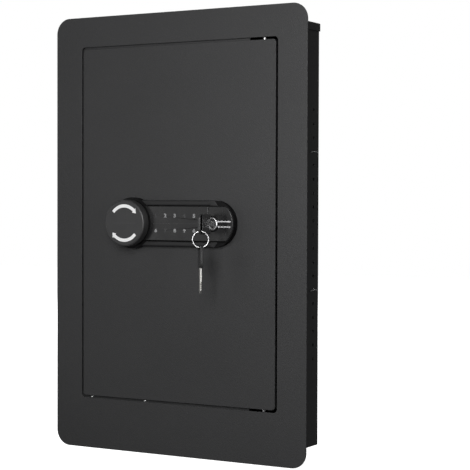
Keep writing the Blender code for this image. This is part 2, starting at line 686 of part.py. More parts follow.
def build_shelves():
    half = WALL_INNER - SHELF_SIDE_GAP
    rear = BACK_FRONT - SHELF_REAR_GAP
    levels = (("upper", UPPER_SHELF_HOLE), ("lower", LOWER_SHELF_HOLE))
    for level, hole in levels:
        height = CASE_TOP - SHELF_HOLE_DROP - hole * SHELF_HOLE_PITCH
        for side_name, side in (("left", -1), ("right", 1)):
            for row_name, row in zip(("front", "rear"), SHELF_ROWS):
                name = f"shelf_clip_{level}_{side_name}_{row_name}"
                points = clip_points(side, row, height)
                wire(name, points, CLIP_WIRE_RADIUS, "zinc_plate", origin=points[0])
        under = height + CLIP_WIRE_RADIUS + GAP
        over = under + SHELF_SHEET
        lip = SHELF_FRONT + SHELF_SHEET
        section = [
            (SHELF_FRONT, under - SHELF_LIP), (lip, under - SHELF_LIP), (lip, under),
            (rear, under), (rear, over), (SHELF_FRONT, over),
        ]
        axis = pivot(f"shelf_{level}_slide", (0, rear, under))
        shelf = extrude(section, "X", -half, half)
        solid(f"shelf_{level}", shelf, "powder_coat", (0, rear, under), axis)


def screw_places():
    x_places = (COVER_LEFT + SCREW_INSET, COVER_RIGHT - SCREW_INSET)
    half_flange = COVER_FLANGE / 2
    z_places = (COVER_TOP + half_flange, COVER_BOTTOM - half_flange)
    return [(x, z) for z in z_places for x in x_places]


def build_door_panels(door):
    hinge = (HINGE_X, HINGE_Y, DOOR_CENTRE)
    holes = [
        circle(KNOB_X, LOCK_Z, SPINDLE_RADIUS + SPINDLE_CLEARANCE, 20),
        circle(KEY_X, LOCK_Z, CYLINDER_HOLE_RADIUS, 28),
    ]
    outline = rectangle(-DOOR_SIDE, DOOR_SIDE, DOOR_BOTTOM, DOOR_TOP, DOOR_CORNER, 4)
    plate = extrude(outline, "Y", FRONT, DOOR_REAR, holes)
    tapped = bmesh.new()
    for x, z in screw_places():
        hole = circle(x, z, SCREW_RADIUS + GAP, 12)
        extrude(hole, "Y", DOOR_REAR - SCREW_BITE - GAP, DOOR_REAR + SHEET, bm=tapped)
    solid("door_plate", cut(plate, tapped), "powder_coat", hinge, door)

    for name, end in (("hinge_lug_top", 1), ("hinge_lug_bottom", -1)):
        low, high = lug_span(end)
        section = rectangle(
            HINGE_X - LUG_HALF_WIDTH, HINGE_X + LUG_HALF_WIDTH, COVER_FRONT, HINGE_Y + LUG_BEHIND_PIN
        )
        lug = extrude(section, "Z", low, high, [circle(HINGE_X, HINGE_Y, PIN_RADIUS + GAP, 16)])
        solid(name, lug, "powder_coat", (HINGE_X, HINGE_Y, low), door)
    low = lug_span(1)[0] + PIN_STEP
    high = TAB_UNDER_TOP + TAB_THICKNESS + PIN_STEP
    pin = rod("Z", (HINGE_X, HINGE_Y, 0), PIN_RADIUS, low, high, 16)
    solid("hinge_pin_top", pin, "bare_steel", (HINGE_X, HINGE_Y, low), door, smooth=True)


def build_inner_cover(door):
    cover = box(COVER_LEFT, COVER_RIGHT, COVER_FRONT, COVER_REAR, COVER_BOTTOM, COVER_TOP)
    hollow = box(
        COVER_LEFT + COVER_SHEET, COVER_RIGHT - COVER_SHEET, FRONT, COVER_INSIDE,
        COVER_BOTTOM + COVER_SHEET, COVER_TOP - COVER_SHEET,
    )
    cover = cut(cover, hollow)
    inner = COVER_SHEET / 2
    skin = COVER_SHEET / 12
    for low, high in (
        (COVER_TOP - inner, COVER_TOP + COVER_FLANGE),
        (COVER_BOTTOM - COVER_FLANGE, COVER_BOTTOM + inner),
    ):
        holes = [
            circle(x, z, SCREW_RADIUS + GAP, 12) for x, z in screw_places() if low < z < high
        ]
        strip = rectangle(COVER_LEFT + skin, COVER_RIGHT - skin, low, high)
        cover = join(
            cover, extrude(strip, "Y", COVER_FRONT + skin, COVER_FRONT + COVER_SHEET, holes)
        )
    openings = box(
        BOX_X - BOX_HALF_WIDTH + BOX_WALL, BOX_X + BOX_HALF_WIDTH - BOX_WALL,
        COVER_INSIDE - SHEET, COVER_REAR + SHEET, BOX_BOTTOM + BOX_WALL, BOX_TOP - BOX_WALL,
    )
    extrude(
        circle(RESET_X, RESET_Z, RESET_RADIUS + GAP, 20), "Y",
        COVER_INSIDE - SHEET, COVER_REAR + SHEET, bm=openings,
    )
    for height in BOLT_HEIGHTS:
        extrude(
            circle(BOLT_Y, height, BOLT_HOLE_RADIUS, 24), "X",
            COVER_LEFT - SHEET, COVER_LEFT + COVER_SHEET + SHEET, bm=openings,
        )
    cover = cut(cover, openings)
    solid("inner_cover", cover, "powder_coat", (COVER_LEFT, COVER_FRONT, COVER_BOTTOM), door)

    under_head = COVER_FRONT + COVER_SHEET + GAP
    for index, (x, z) in enumerate(screw_places()):
        head_top = under_head + SCREW_HEAD_HEIGHT
        profile = [
            (0, DOOR_REAR - SCREW_BITE), (SCREW_RADIUS, DOOR_REAR - SCREW_BITE),
            (SCREW_RADIUS, under_head), (SCREW_HEAD_RADIUS, under_head),
            (SCREW_HEAD_RADIUS, head_top - SCREW_CROWN_HEIGHT),
            (SCREW_CROWN_RADIUS, head_top), (0, head_top),
        ]
        screw = turned(profile, "Y", (x, 0, z), 14)
        solid(f"cover_screw_{index + 1}", screw, "zinc_plate", (x, head_top, z), door, True)


def notched_edge(radius, seam):
    """The seam line at the end cap, bent round the key cylinder, from bottom to top."""
    inset = KEY_X - seam
    spread = math.acos(inset / radius)
    return arc(KEY_X, LOCK_Z, radius, math.pi + spread, math.pi - spread, 10)


def build_lock_housing(door):
    place = (KNOB_X, BASE_REAR, LOCK_Z)
    seam = SEAM_X - GAP
    quarter = math.pi / 2
    notch = notched_edge(CAP_BOSS_RADIUS + GAP, seam)
    low, high = LOCK_Z - HOUSING_RADIUS, LOCK_Z + HOUSING_RADIUS
    rounded = arc(KNOB_X, LOCK_Z, HOUSING_RADIUS, quarter, 3 * quarter, 20)
    base = [*rounded, (seam, low), *notch, (seam, high)]
    band_low, band_high = LOCK_Z - BAND_HALF_HEIGHT, LOCK_Z + BAND_HALF_HEIGHT
    seam_inside = seam - GAP / 3
    inner_notch = notched_edge(CAP_BOSS_RADIUS + GAP * 4 / 3, seam_inside)
    pedestal = arc(KNOB_X, LOCK_Z, BAND_HALF_HEIGHT, quarter, 3 * quarter, 16)
    band = [*pedestal, (seam_inside, band_low), *inner_notch, (seam_inside, band_high)]
    overlap = HOUSING_BASE / 4
    housing = join(
        extrude(base, "Y", BASE_REAR, BASE_FACE),
        extrude(band, "Y", BASE_FACE + overlap, HOUSING_FACE),
    )
    step = GAP / 3
    foot = rod("Y", (KNOB_X, 0, LOCK_Z), PEDESTAL_RADIUS, BASE_REAR - step, BASE_FACE + step, 48)
    housing = join(housing, foot)
    hollow = box(
        KNOB_X + HOLLOW_KNOB_INSET, seam - HOLLOW_CAP_INSET, FRONT + SHEET,
        HOUSING_FACE + HOUSING_WALL, LOCK_Z - HOLLOW_HALF_HEIGHT, LOCK_Z + HOLLOW_HALF_HEIGHT,
    )
    bore = circle(KNOB_X, LOCK_Z, SPINDLE_RADIUS + SPINDLE_CLEARANCE, 20)
    extrude(bore, "Y", FRONT + SHEET, HOUSING_FACE - SHEET, bm=hollow)
    solid("lock_housing", cut(housing, hollow), "lock_plastic", place, door)

    panel_left = KNOB_X + KNOB_RADIUS + PANEL_THICKNESS
    panel = [
        (panel_left, band_high), (panel_left, band_low), (seam, band_low), *notch, (seam, band_high)
    ]
    solid("keypad_panel", extrude(panel, "Y", BAND_FACE, PANEL_REAR), "keypad_gloss", place, door)

    board_face = HOUSING_FACE + HOUSING_WALL + BOARD_FRONT_GAP
    board_half = HOLLOW_HALF_HEIGHT - BOARD_MARGIN
    board = box(
        KNOB_X + HOLLOW_KNOB_INSET + BOARD_MARGIN, seam - HOLLOW_CAP_INSET - BOARD_MARGIN,
        board_face, board_face + BOARD_THICKNESS, LOCK_Z - board_half, LOCK_Z + board_half,
    )
    solid("keypad_board", board, "circuit_board", place, door)


def build_end_cap(door):
    quarter = math.pi / 2
    boss = notched_edge(CAP_BOSS_RADIUS, SEAM_X)[::-1]
    high, low = LOCK_Z + HOUSING_RADIUS, LOCK_Z - HOUSING_RADIUS
    base = [
        (SEAM_X, high), *boss, (SEAM_X, low),
        *arc(KEY_X, LOCK_Z, HOUSING_RADIUS, -quarter, quarter, 20),
    ]
    inside = GAP / 3
    arc_radius = HOUSING_RADIUS - inside
    reach = math.asin(BAND_HALF_HEIGHT / arc_radius)
    inner_boss = notched_edge(CAP_BOSS_RADIUS - inside, SEAM_X + inside)[::-1]
    band = [
        (SEAM_X + inside, LOCK_Z + BAND_HALF_HEIGHT), *inner_boss,
        (SEAM_X + inside, LOCK_Z - BAND_HALF_HEIGHT),
        *arc(KEY_X, LOCK_Z, arc_radius, -reach, reach, 16),
    ]
    cap = join(
        extrude(base, "Y", BASE_REAR, BASE_FACE),
        extrude(band, "Y", BASE_FACE + HOUSING_BASE / 4, BAND_FACE),
    )
    bore = rod("Y", (KEY_X, 0, LOCK_Z), CYLINDER_HOLE_RADIUS, BAND_FACE - SHEET, FRONT + SHEET, 28)
    solid("end_cap", cut(cap, bore), "lock_plastic", (KEY_X, BASE_REAR, LOCK_Z), door)


def build_key_lock(door):
    centre = (KEY_X, 0, LOCK_Z)
    face = (KEY_X, CYLINDER_FACE, LOCK_Z)
    barrel = extrude(
        circle(KEY_X, LOCK_Z, CYLINDER_RADIUS, 32), "Y", CYLINDER_FACE, CYLINDER_BACK,
        [circle(KEY_X, LOCK_Z, CYLINDER_BORE_RADIUS, 24)],
    )
    solid("lock_cylinder", barrel, "chrome", face, door, smooth=True)
    corner = NUT_ACROSS_FLATS / math.sqrt(3)
    nut_front = DOOR_REAR + GAP
    nut = extrude(
        circle(KEY_X, LOCK_Z, corner, 6), "Y", nut_front, nut_front + NUT_THICKNESS,
        [circle(KEY_X, LOCK_Z, CYLINDER_HOLE_RADIUS, 28)],
    )
    solid("cylinder_nut", nut, "zinc_plate", (KEY_X, nut_front, LOCK_Z), door)

    plug_axis = pivot("key_turn_axis", (KEY_X, PLUG_FACE, LOCK_Z), door)
    keyway_x = KEY_BLADE_HALF_THICKNESS + GAP
    keyway_z = KEY_BLADE_HALF_HEIGHT + GAP
    keyway = box(
        KEY_X - keyway_x, KEY_X + keyway_x, PLUG_FACE - SHEET, PLUG_FACE + KEYWAY_DEPTH,
        LOCK_Z - keyway_z, LOCK_Z + keyway_z,
    )
    plug = cut(rod("Y", centre, PLUG_RADIUS, PLUG_FACE, PLUG_BACK), keyway)
    solid("cylinder_plug", plug, "chrome", face, plug_axis, smooth=True)

    cam = rod("Y", centre, KEY_CAM_RADIUS, KEY_CAM_FRONT, KEY_CAM_BACK)
    throw = KEY_CAM_PIN_OFFSET * math.sin(CAM_REST_ANGLE)
    pin_centre = (KEY_X - throw, 0, LOCK_Z - throw)
    pin = rod(
        "Y", pin_centre, KEY_CAM_PIN_RADIUS, KEY_CAM_BACK - KEY_CAM_THICKNESS / 2,
        KEY_CAM_BACK + KEY_CAM_PIN_LENGTH, 12,
    )
    solid("key_cam", join(cam, pin), "bare_steel", (KEY_X, KEY_CAM_FRONT, LOCK_Z), plug_axis)
    return plug_axis


def key_blade(length, rear):
    """A key's blade along Y, its cuts on the lower edge, with its back end at rear."""
    x = KEY_BLADE_HALF_THICKNESS
    top, low = KEY_BLADE_HALF_HEIGHT, -KEY_BLADE_HALF_HEIGHT
    tip = rear + length
    tooth = length * KEY_CUT_PITCH_SHARE
    outline = [(rear, low), (rear, top), (tip - tooth, top), (tip, 0)]
    for step, depth in enumerate(KEY_CUT_DEPTHS):
        start = tip - tooth * (1 + step)
        outline.append((start, low * (1 - depth)))
        outline.append((start - tooth / 2, low))
    return extrude(outline, "X", -x, x)


def key_head():
    """A key's head along Y from 0 to minus its length, with its ring slot across the far end."""
    far = -KEY_HEAD_LENGTH
    slot = far + KEY_SLOT_EDGE
    outline = rectangle(far, 0, -KEY_HEAD_HALF_WIDTH, KEY_HEAD_HALF_WIDTH, KEY_HEAD_CORNER, 5)
    hole = rectangle(
        slot, slot + KEY_SLOT_WIDTH, -KEY_SLOT_HALF_LENGTH, KEY_SLOT_HALF_LENGTH,
        KEY_SLOT_CORNER, 4,
    )
    return extrude(outline, "X", -KEY_HEAD_HALF_THICKNESS, KEY_HEAD_HALF_THICKNESS, [hole])


def placed(bm, matrix):
    bmesh.ops.transform(bm, matrix=matrix, verts=bm.verts)
    return bm


def build_keys(plug_axis):
    head_place = Vector((KEY_X, KEY_HEAD_REAR, LOCK_Z))
    key_axis = pivot("key_withdraw_slide", head_place, plug_axis)
    at_lock = Matrix.Translation(head_place)
    blade = key_blade(KEY_BLADE_INSERTED, GAP)
    solid("key_blade", placed(blade, at_lock), "key_steel", head_place, key_axis)
    solid("key_head", placed(key_head(), at_lock), "key_plastic", head_place, key_axis)

    ring_axis = pivot("ring_swing_axis", (KEY_X, KEY_SLOT_Y, RING_TOP_Z), key_axis)
    sides = 40
    ring = [
        RING_CENTRE
        + RING_TANGENT * (RING_RADIUS * math.sin(math.tau * step / sides))
        + Vector((0, 0, RING_RADIUS * math.cos(math.tau * step / sides)))
        for step in range(sides)
    ]
    wire("key_ring", ring, RING_WIRE_RADIUS, "chrome", True, ring_axis, RING_CENTRE)

    # The spare key hangs by its slot: its length runs down, and its width lies nearly across the ring.
    hanging = RING_CENTRE - Vector((0, 0, RING_RADIUS))
    spare_axis = pivot("spare_key_swing_axis", hanging, ring_axis)
    upright = Matrix(
        (
            (SPARE_SIDE.x, 0, SPARE_FACING.x),
            (SPARE_SIDE.y, 0, SPARE_FACING.y),
            (0, -1, 0),
        )
    ).to_4x4()
    slot_along = KEY_SLOT_EDGE + KEY_SLOT_WIDTH / 2 - KEY_HEAD_LENGTH
    place = Vector((hanging.x, hanging.y, SPARE_SLOT_Z + slot_along))
    at_ring = Matrix.Translation(place) @ upright
    spare_blade = placed(key_blade(KEY_BLADE_LENGTH, GAP), at_ring)
    solid("spare_key_blade", spare_blade, "key_steel", place, spare_axis)
    solid("spare_key_head", placed(key_head(), at_ring), "key_plastic", place, spare_axis)


def build_knob(door):
    centre = (KNOB_X, 0, LOCK_Z)
    axis = pivot("knob_axis", (KNOB_X, KNOB_FACE, LOCK_Z), door)
    profile = [
        (0, KNOB_REAR), (KNOB_RADIUS, KNOB_REAR), (KNOB_RADIUS, KNOB_FACE + KNOB_ROUNDING),
        (KNOB_RADIUS - KNOB_ROUNDING_STEP, KNOB_FACE + KNOB_ROUNDING_STEP),
        (KNOB_RADIUS - KNOB_ROUNDING, KNOB_FACE), (0, KNOB_FACE),
    ]
    knob = turned(profile, "Y", centre, 48)
    solid("knob", knob, "lock_plastic", (KNOB_X, KNOB_FACE, LOCK_Z), axis, smooth=True)
    spindle = rod("Y", centre, SPINDLE_RADIUS, KNOB_REAR + GAP, CAM_FRONT - GAP)
    solid("knob_spindle", spindle, "bare_steel", (KNOB_X, KNOB_REAR, LOCK_Z), axis, smooth=True)

    cam = rod("Y", centre, CAM_RADIUS, CAM_FRONT, CAM_BACK, 32)
    pin_centre = (KNOB_X + CAM_PIN_X, 0, LOCK_Z + CAM_PIN_Z)
    pin = rod(
        "Y", pin_centre, CAM_PIN_RADIUS, CAM_BACK - CAM_THICKNESS / 2, CAM_BACK + CAM_PIN_LENGTH, 16
    )
    solid("knob_cam", join(cam, pin), "bare_steel", (KNOB_X, CAM_FRONT, LOCK_Z), axis)


def build_boltwork(door):
    low_end = BOLT_HEIGHTS[-1] - BAR_END
    high_end = BOLT_HEIGHTS[0] + BAR_END
    axis = pivot("bolt_slide", (BAR_LEFT, BOLT_Y, DOOR_CENTRE), door)
    bar = box(BAR_LEFT, BAR_RIGHT, BAR_FRONT, ARM_REAR, low_end, high_end)
    pin_x = KNOB_X + CAM_PIN_X
    slot_low = LOCK_Z + CAM_PIN_Z - SLOT_HALF
    slot_high = LOCK_Z + CAM_PIN_OFFSET + SLOT_HALF
    plate = rectangle(
        BAR_LEFT + BAR_THICKNESS / 2, pin_x + SLOT_HALF + ARM_WALL,
        slot_low - ARM_WALL, LOCK_Z + ARM_TOP,
    )
    slot = rectangle(pin_x - SLOT_HALF, pin_x + SLOT_HALF, slot_low, slot_high)
    skin = GAP / 3
    arm = extrude(plate, "Y", ARM_FRONT, ARM_REAR - skin, [slot])
    bar_place = (BAR_LEFT, BAR_FRONT, DOOR_CENTRE)
    solid("bolt_bar", join(bar, arm), "bare_steel", bar_place, axis)

    start = BAR_LEFT - GAP
    for name, height in zip(("top", "middle", "bottom"), BOLT_HEIGHTS):
        profile = [
            (0, start), (BOLT_RADIUS, start), (BOLT_RADIUS, BOLT_TIP + BOLT_CHAMFER),
            (BOLT_RADIUS - BOLT_CHAMFER, BOLT_TIP), (0, BOLT_TIP),
        ]
        bolt = turned(profile, "X", (0, BOLT_Y, height), 24)
        place = (BOLT_TIP, BOLT_Y, height)
        solid(f"bolt_{name}", bolt, "zinc_plate", place, axis, smooth=True)

    guide_rear = COVER_INSIDE - SOLENOID_REAR_GAP
    guide = extrude(
        rectangle(COVER_FRONT, guide_rear, BOLT_HEIGHTS[-1] - GUIDE_END, BOLT_HEIGHTS[0] + GUIDE_END),
        "X", GUIDE_LEFT, GUIDE_LEFT + GUIDE_THICKNESS,
        [circle(BOLT_Y, height, BOLT_HOLE_RADIUS, 24) for height in BOLT_HEIGHTS],
    )
    solid("bolt_guide_rail", guide, "bare_steel", (GUIDE_LEFT, COVER_FRONT, DOOR_CENTRE), door)


def build_lock_slide(door):
    bottom = LOCK_Z + SLIDE_BOTTOM
    top = bottom + SLIDE_HEIGHT
    right = KEY_X + SLIDE_RIGHT_REACH
    leg_left = KEY_X - SLIDE_LEG_LEFT_REACH
    outline = [
        (SLIDE_LEFT, bottom), (leg_left, bottom), (leg_left, LOCK_Z - SLIDE_LEG_DROP),
        (right, LOCK_Z - SLIDE_LEG_DROP), (right, top), (SLIDE_LEFT, top),
    ]
    throw = KEY_CAM_PIN_OFFSET * math.sin(CAM_REST_ANGLE)
    slot_half = KEY_CAM_PIN_RADIUS + SLIDE_SLOT_SLACK
    slot = rectangle(
        KEY_X - KEY_CAM_PIN_OFFSET - slot_half, KEY_X - throw + slot_half,
        LOCK_Z - throw - slot_half, LOCK_Z - throw + slot_half,
    )
    axis = pivot("lock_slide_lift", (SOLENOID_X, SLIDE_FRONT, top), door)
    slide = extrude(outline, "Y", SLIDE_FRONT, SLIDE_REAR, [slot])
    solid("lock_slide", slide, "bare_steel", (KEY_X, SLIDE_FRONT, bottom), axis)
    plunger_y = (SLIDE_FRONT + SLIDE_REAR) / 2
    plunger_end = top + GAP
    plunger = rod(
        "Z", (SOLENOID_X, plunger_y, 0), PLUNGER_RADIUS, plunger_end, plunger_end + PLUNGER_LENGTH, 16
    )
    plunger_place = (SOLENOID_X, plunger_y, plunger_end)
    solid("solenoid_plunger", plunger, "bare_steel", plunger_place, axis, smooth=True)

    low = top + SOLENOID_LIFT
    section = rectangle(
        SOLENOID_X - SOLENOID_HALF_WIDTH, SOLENOID_X + SOLENOID_HALF_WIDTH,
        DOOR_REAR + SOLENOID_FRONT_GAP, COVER_INSIDE - SOLENOID_REAR_GAP,
    )
    bore = circle(SOLENOID_X, plunger_y, PLUNGER_RADIUS + GAP, 16)
    coil = extrude(section, "Z", low, low + SOLENOID_HEIGHT, [bore])
    solid("solenoid_body", coil, "solenoid_case", (SOLENOID_X, plunger_y, low), door)


def build_batteries(door):
    tray = box(
        BOX_X - BOX_HALF_WIDTH, BOX_X + BOX_HALF_WIDTH, BOX_FRONT, BOX_REAR, BOX_BOTTOM, BOX_TOP
    )
    hollow = box(
        BOX_X - BOX_HALF_WIDTH + BOX_WALL, BOX_X + BOX_HALF_WIDTH - BOX_WALL,
        BOX_FRONT + BOX_WALL, BOX_REAR + SHEET, BOX_BOTTOM + BOX_WALL, BOX_TOP - BOX_WALL,
    )
    box_place = (BOX_X, BOX_FRONT, BOX_BOTTOM)
    solid("battery_box", cut(tray, hollow), "lock_plastic", box_place, door)

    start = BOX_BOTTOM + BOX_WALL + BATTERY_END_ROOM
    shoulder = start + BATTERY_LENGTH
    for index in range(BATTERY_COUNT):
        x = BOX_X + (index - (BATTERY_COUNT - 1) / 2) * BATTERY_PITCH
        profile = [
            (0, start), (BATTERY_RADIUS, start), (BATTERY_RADIUS, shoulder),
            (BATTERY_NUB_RADIUS, shoulder), (BATTERY_NUB_RADIUS, shoulder + BATTERY_NUB),
            (0, shoulder + BATTERY_NUB),
        ]
        cell = turned(profile, "Z", (x, BATTERY_Y, 0), 20)
        place = (x, BATTERY_Y, start)
        solid(f"battery_{index + 1}", cell, "battery_sleeve", place, door, smooth=True)

    lid_front = COVER_REAR + GAP
    lid_rear = lid_front + LID_THICKNESS
    lid_half = BOX_HALF_WIDTH + LID_LAP - BOX_WALL
    lid_low, lid_high = BOX_BOTTOM + BOX_WALL - LID_LAP, BOX_TOP - BOX_WALL + LID_LAP
    axis = pivot("battery_lid_slide", (BOX_X, lid_front, lid_low), door)
    grip_low = (lid_low + lid_high) / 2 - LID_GRIP_PITCH
    section = [(lid_rear, lid_high), (lid_front, lid_high), (lid_front, lid_low), (lid_rear, lid_low)]
    for step in range(LID_GRIPS):
        low = grip_low + step * LID_GRIP_PITCH
        section += [
            (lid_rear, low), (lid_rear + LID_GRIP_PROUD, low),
            (lid_rear + LID_GRIP_PROUD, low + LID_GRIP_HEIGHT), (lid_rear, low + LID_GRIP_HEIGHT),
        ]
    lid = extrude(section, "X", BOX_X - lid_half, BOX_X + lid_half)
    solid("battery_lid", lid, "lock_plastic", (BOX_X, lid_front, lid_low), axis)


def build_reset_button(door):
    start = COVER_REAR - RESET_STEM
    end = COVER_REAR + RESET_PROUD
    axis = pivot("reset_button_axis", (RESET_X, end, RESET_Z), door)
    button = rod("Y", (RESET_X, 0, RESET_Z), RESET_RADIUS, start, end, 20)
    solid("reset_button", button, "reset_red", (RESET_X, end, RESET_Z), axis, smooth=True)


clear_scene()
MATERIALS = make_materials()
build_case()
build_front_frame()
build_jamb()
build_shelves()
door_axis = pivot("door_hinge_axis", (HINGE_X, HINGE_Y, DOOR_CENTRE))
build_door_panels(door_axis)
build_inner_cover(door_axis)
build_lock_housing(door_axis)
build_end_cap(door_axis)
key_axis = build_key_lock(door_axis)
build_keys(key_axis)
build_knob(door_axis)
build_boltwork(door_axis)
build_lock_slide(door_axis)
build_batteries(door_axis)
build_reset_button(door_axis)
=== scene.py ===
import math

import bmesh
import bpy
from mathutils import Matrix, Vector


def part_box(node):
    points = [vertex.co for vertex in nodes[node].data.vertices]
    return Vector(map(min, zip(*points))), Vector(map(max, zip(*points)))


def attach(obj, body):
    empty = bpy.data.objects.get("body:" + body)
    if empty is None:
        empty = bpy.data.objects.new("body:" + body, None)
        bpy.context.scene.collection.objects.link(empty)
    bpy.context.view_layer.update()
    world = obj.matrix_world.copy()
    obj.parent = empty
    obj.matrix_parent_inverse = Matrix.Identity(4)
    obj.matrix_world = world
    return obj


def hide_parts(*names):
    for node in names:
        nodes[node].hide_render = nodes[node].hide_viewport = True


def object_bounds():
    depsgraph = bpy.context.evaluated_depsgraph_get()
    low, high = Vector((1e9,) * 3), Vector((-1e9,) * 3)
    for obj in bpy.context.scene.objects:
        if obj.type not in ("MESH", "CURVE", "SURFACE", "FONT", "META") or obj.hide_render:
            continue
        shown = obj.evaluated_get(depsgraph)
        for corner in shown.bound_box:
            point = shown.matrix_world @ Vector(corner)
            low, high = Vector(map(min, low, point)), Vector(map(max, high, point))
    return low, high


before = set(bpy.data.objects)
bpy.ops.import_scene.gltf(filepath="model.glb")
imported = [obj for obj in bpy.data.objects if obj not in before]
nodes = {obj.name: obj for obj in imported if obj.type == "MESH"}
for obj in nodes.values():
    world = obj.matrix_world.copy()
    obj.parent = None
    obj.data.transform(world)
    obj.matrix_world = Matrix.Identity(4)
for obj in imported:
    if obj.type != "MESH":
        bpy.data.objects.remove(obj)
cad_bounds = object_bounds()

# ---------------------------------------------------------------- The studio
# A white floor under a white surround. The main soft light stands close in front. Weak cards to the
# left and the right shine in the glossy parts, and a larger light stands high behind on the left.

camera_data = bpy.data.cameras.new("camera")
camera_data.sensor_width = 36.0
camera_data.lens = 112.7
camera = bpy.data.objects.new("camera", camera_data)
camera.location = (0.9884, -1.6602, 0.0431)
camera.rotation_euler = (math.radians(88.65), math.radians(-0.16), math.radians(29.97))
bpy.context.scene.collection.objects.link(camera)
bpy.context.scene.camera = camera
bpy.context.scene.view_settings.view_transform = "Standard"


def soft_light(name, place, aim, size, power):
    lamp = bpy.data.lights.new(name, "AREA")
    lamp.shape = "RECTANGLE"
    lamp.size, lamp.size_y = size
    lamp.energy = power
    obj = bpy.data.objects.new(name, lamp)
    obj.location = place
    obj.rotation_euler = (Vector(aim) - Vector(place)).to_track_quat("-Z", "Y").to_euler()
    bpy.context.scene.collection.objects.link(obj)


soft_light("light_front_right", (0.31, -0.97, 0.26), (0.06, 0, 0), (0.5, 0.5), 7.9)
soft_light("light_card_front", (-1.3, -1.75, 0.05), (0, 0, 0), (0.8, 1.3), 3.4)
soft_light("light_card_left", (-1.9, -0.5, 0.1), (0, 0, 0), (0.5, 1.5), 4.0)
soft_light("light_side", (1.75, -0.95, 0.15), (0.15, 0, 0), (0.24, 1.5), 6.2)
soft_light("light_rear_left", (-1.3, 2.1, 1.2), (0, 0, 0), (1.2, 1.2), 50.0)

world = bpy.data.worlds.new("surround")
world.use_nodes = True
bpy.context.scene.world = world
surround = world.node_tree
seen_by_eye = surround.nodes.new("ShaderNodeLightPath").outputs["Is Camera Ray"]
backdrop = surround.nodes["Background"]
backdrop.inputs["Color"].default_value = (1.0, 1.0, 1.0, 1.0)
room = surround.nodes.new("ShaderNodeBackground")
room.inputs["Color"].default_value = (1.0, 1.0, 1.0, 1.0)
room.inputs["Strength"].default_value = 0.10
either = surround.nodes.new("ShaderNodeMixShader")
surround.links.new(seen_by_eye, either.inputs["Fac"])
surround.links.new(room.outputs["Background"], either.inputs[1])
surround.links.new(backdrop.outputs["Background"], either.inputs[2])
surround.links.new(either.outputs["Shader"], surround.nodes["World Output"].inputs["Surface"])

floor_bm = bmesh.new()
bmesh.ops.create_grid(floor_bm, x_segments=1, y_segments=1, size=4.0)
bmesh.ops.translate(floor_bm, verts=floor_bm.verts, vec=(0, 0, cad_bounds[0][2] - 0.0005))
floor_mesh = bpy.data.meshes.new("studio_floor")
floor_bm.to_mesh(floor_mesh)
floor_bm.free()
floor = bpy.data.objects.new("studio_floor", floor_mesh)
bpy.context.scene.collection.objects.link(floor)
floor_paint = bpy.data.materials.new("studio_white")
floor_paint.use_nodes = True
floor_shader = floor_paint.node_tree.nodes["Principled BSDF"]
floor_shader.inputs["Base Color"].default_value = (0.9, 0.9, 0.9, 1.0)
floor_shader.inputs["Roughness"].default_value = 0.9
floor_shader.inputs["Emission Color"].default_value = (1.0, 1.0, 1.0, 1.0)
floor_shader.inputs["Emission Strength"].default_value = 1.0
floor_mesh.materials.append(floor_paint)
floor.visible_diffuse = False
floor.visible_glossy = False

# ---------------------------------------------------------------- Back panel
# A sheet-steel panel with four anchor holes, welded between the walls. It has the powder coat of
# the whole case: a charcoal powder, baked to a fine orange peel with a slight sparkle in it.


class Reading:
    """A number that changes over a surface. Sums and products of it add Math nodes."""

    def __init__(self, finish, socket):
        self.finish, self.socket = finish, socket

    def math(self, operation, *terms):
        return self.finish.node("ShaderNodeMath", {"operation": operation}, dict(enumerate(terms)))

    def __add__(self, other):
        return self.math("ADD", self, other)

    def __mul__(self, other):
        return self.math("MULTIPLY", self, other)

    def __gt__(self, other):
        return self.math("GREATER_THAN", self, other)

    def __lt__(self, other):
        return self.math("LESS_THAN", self, other)

    __radd__ = __add__
    __rmul__ = __mul__


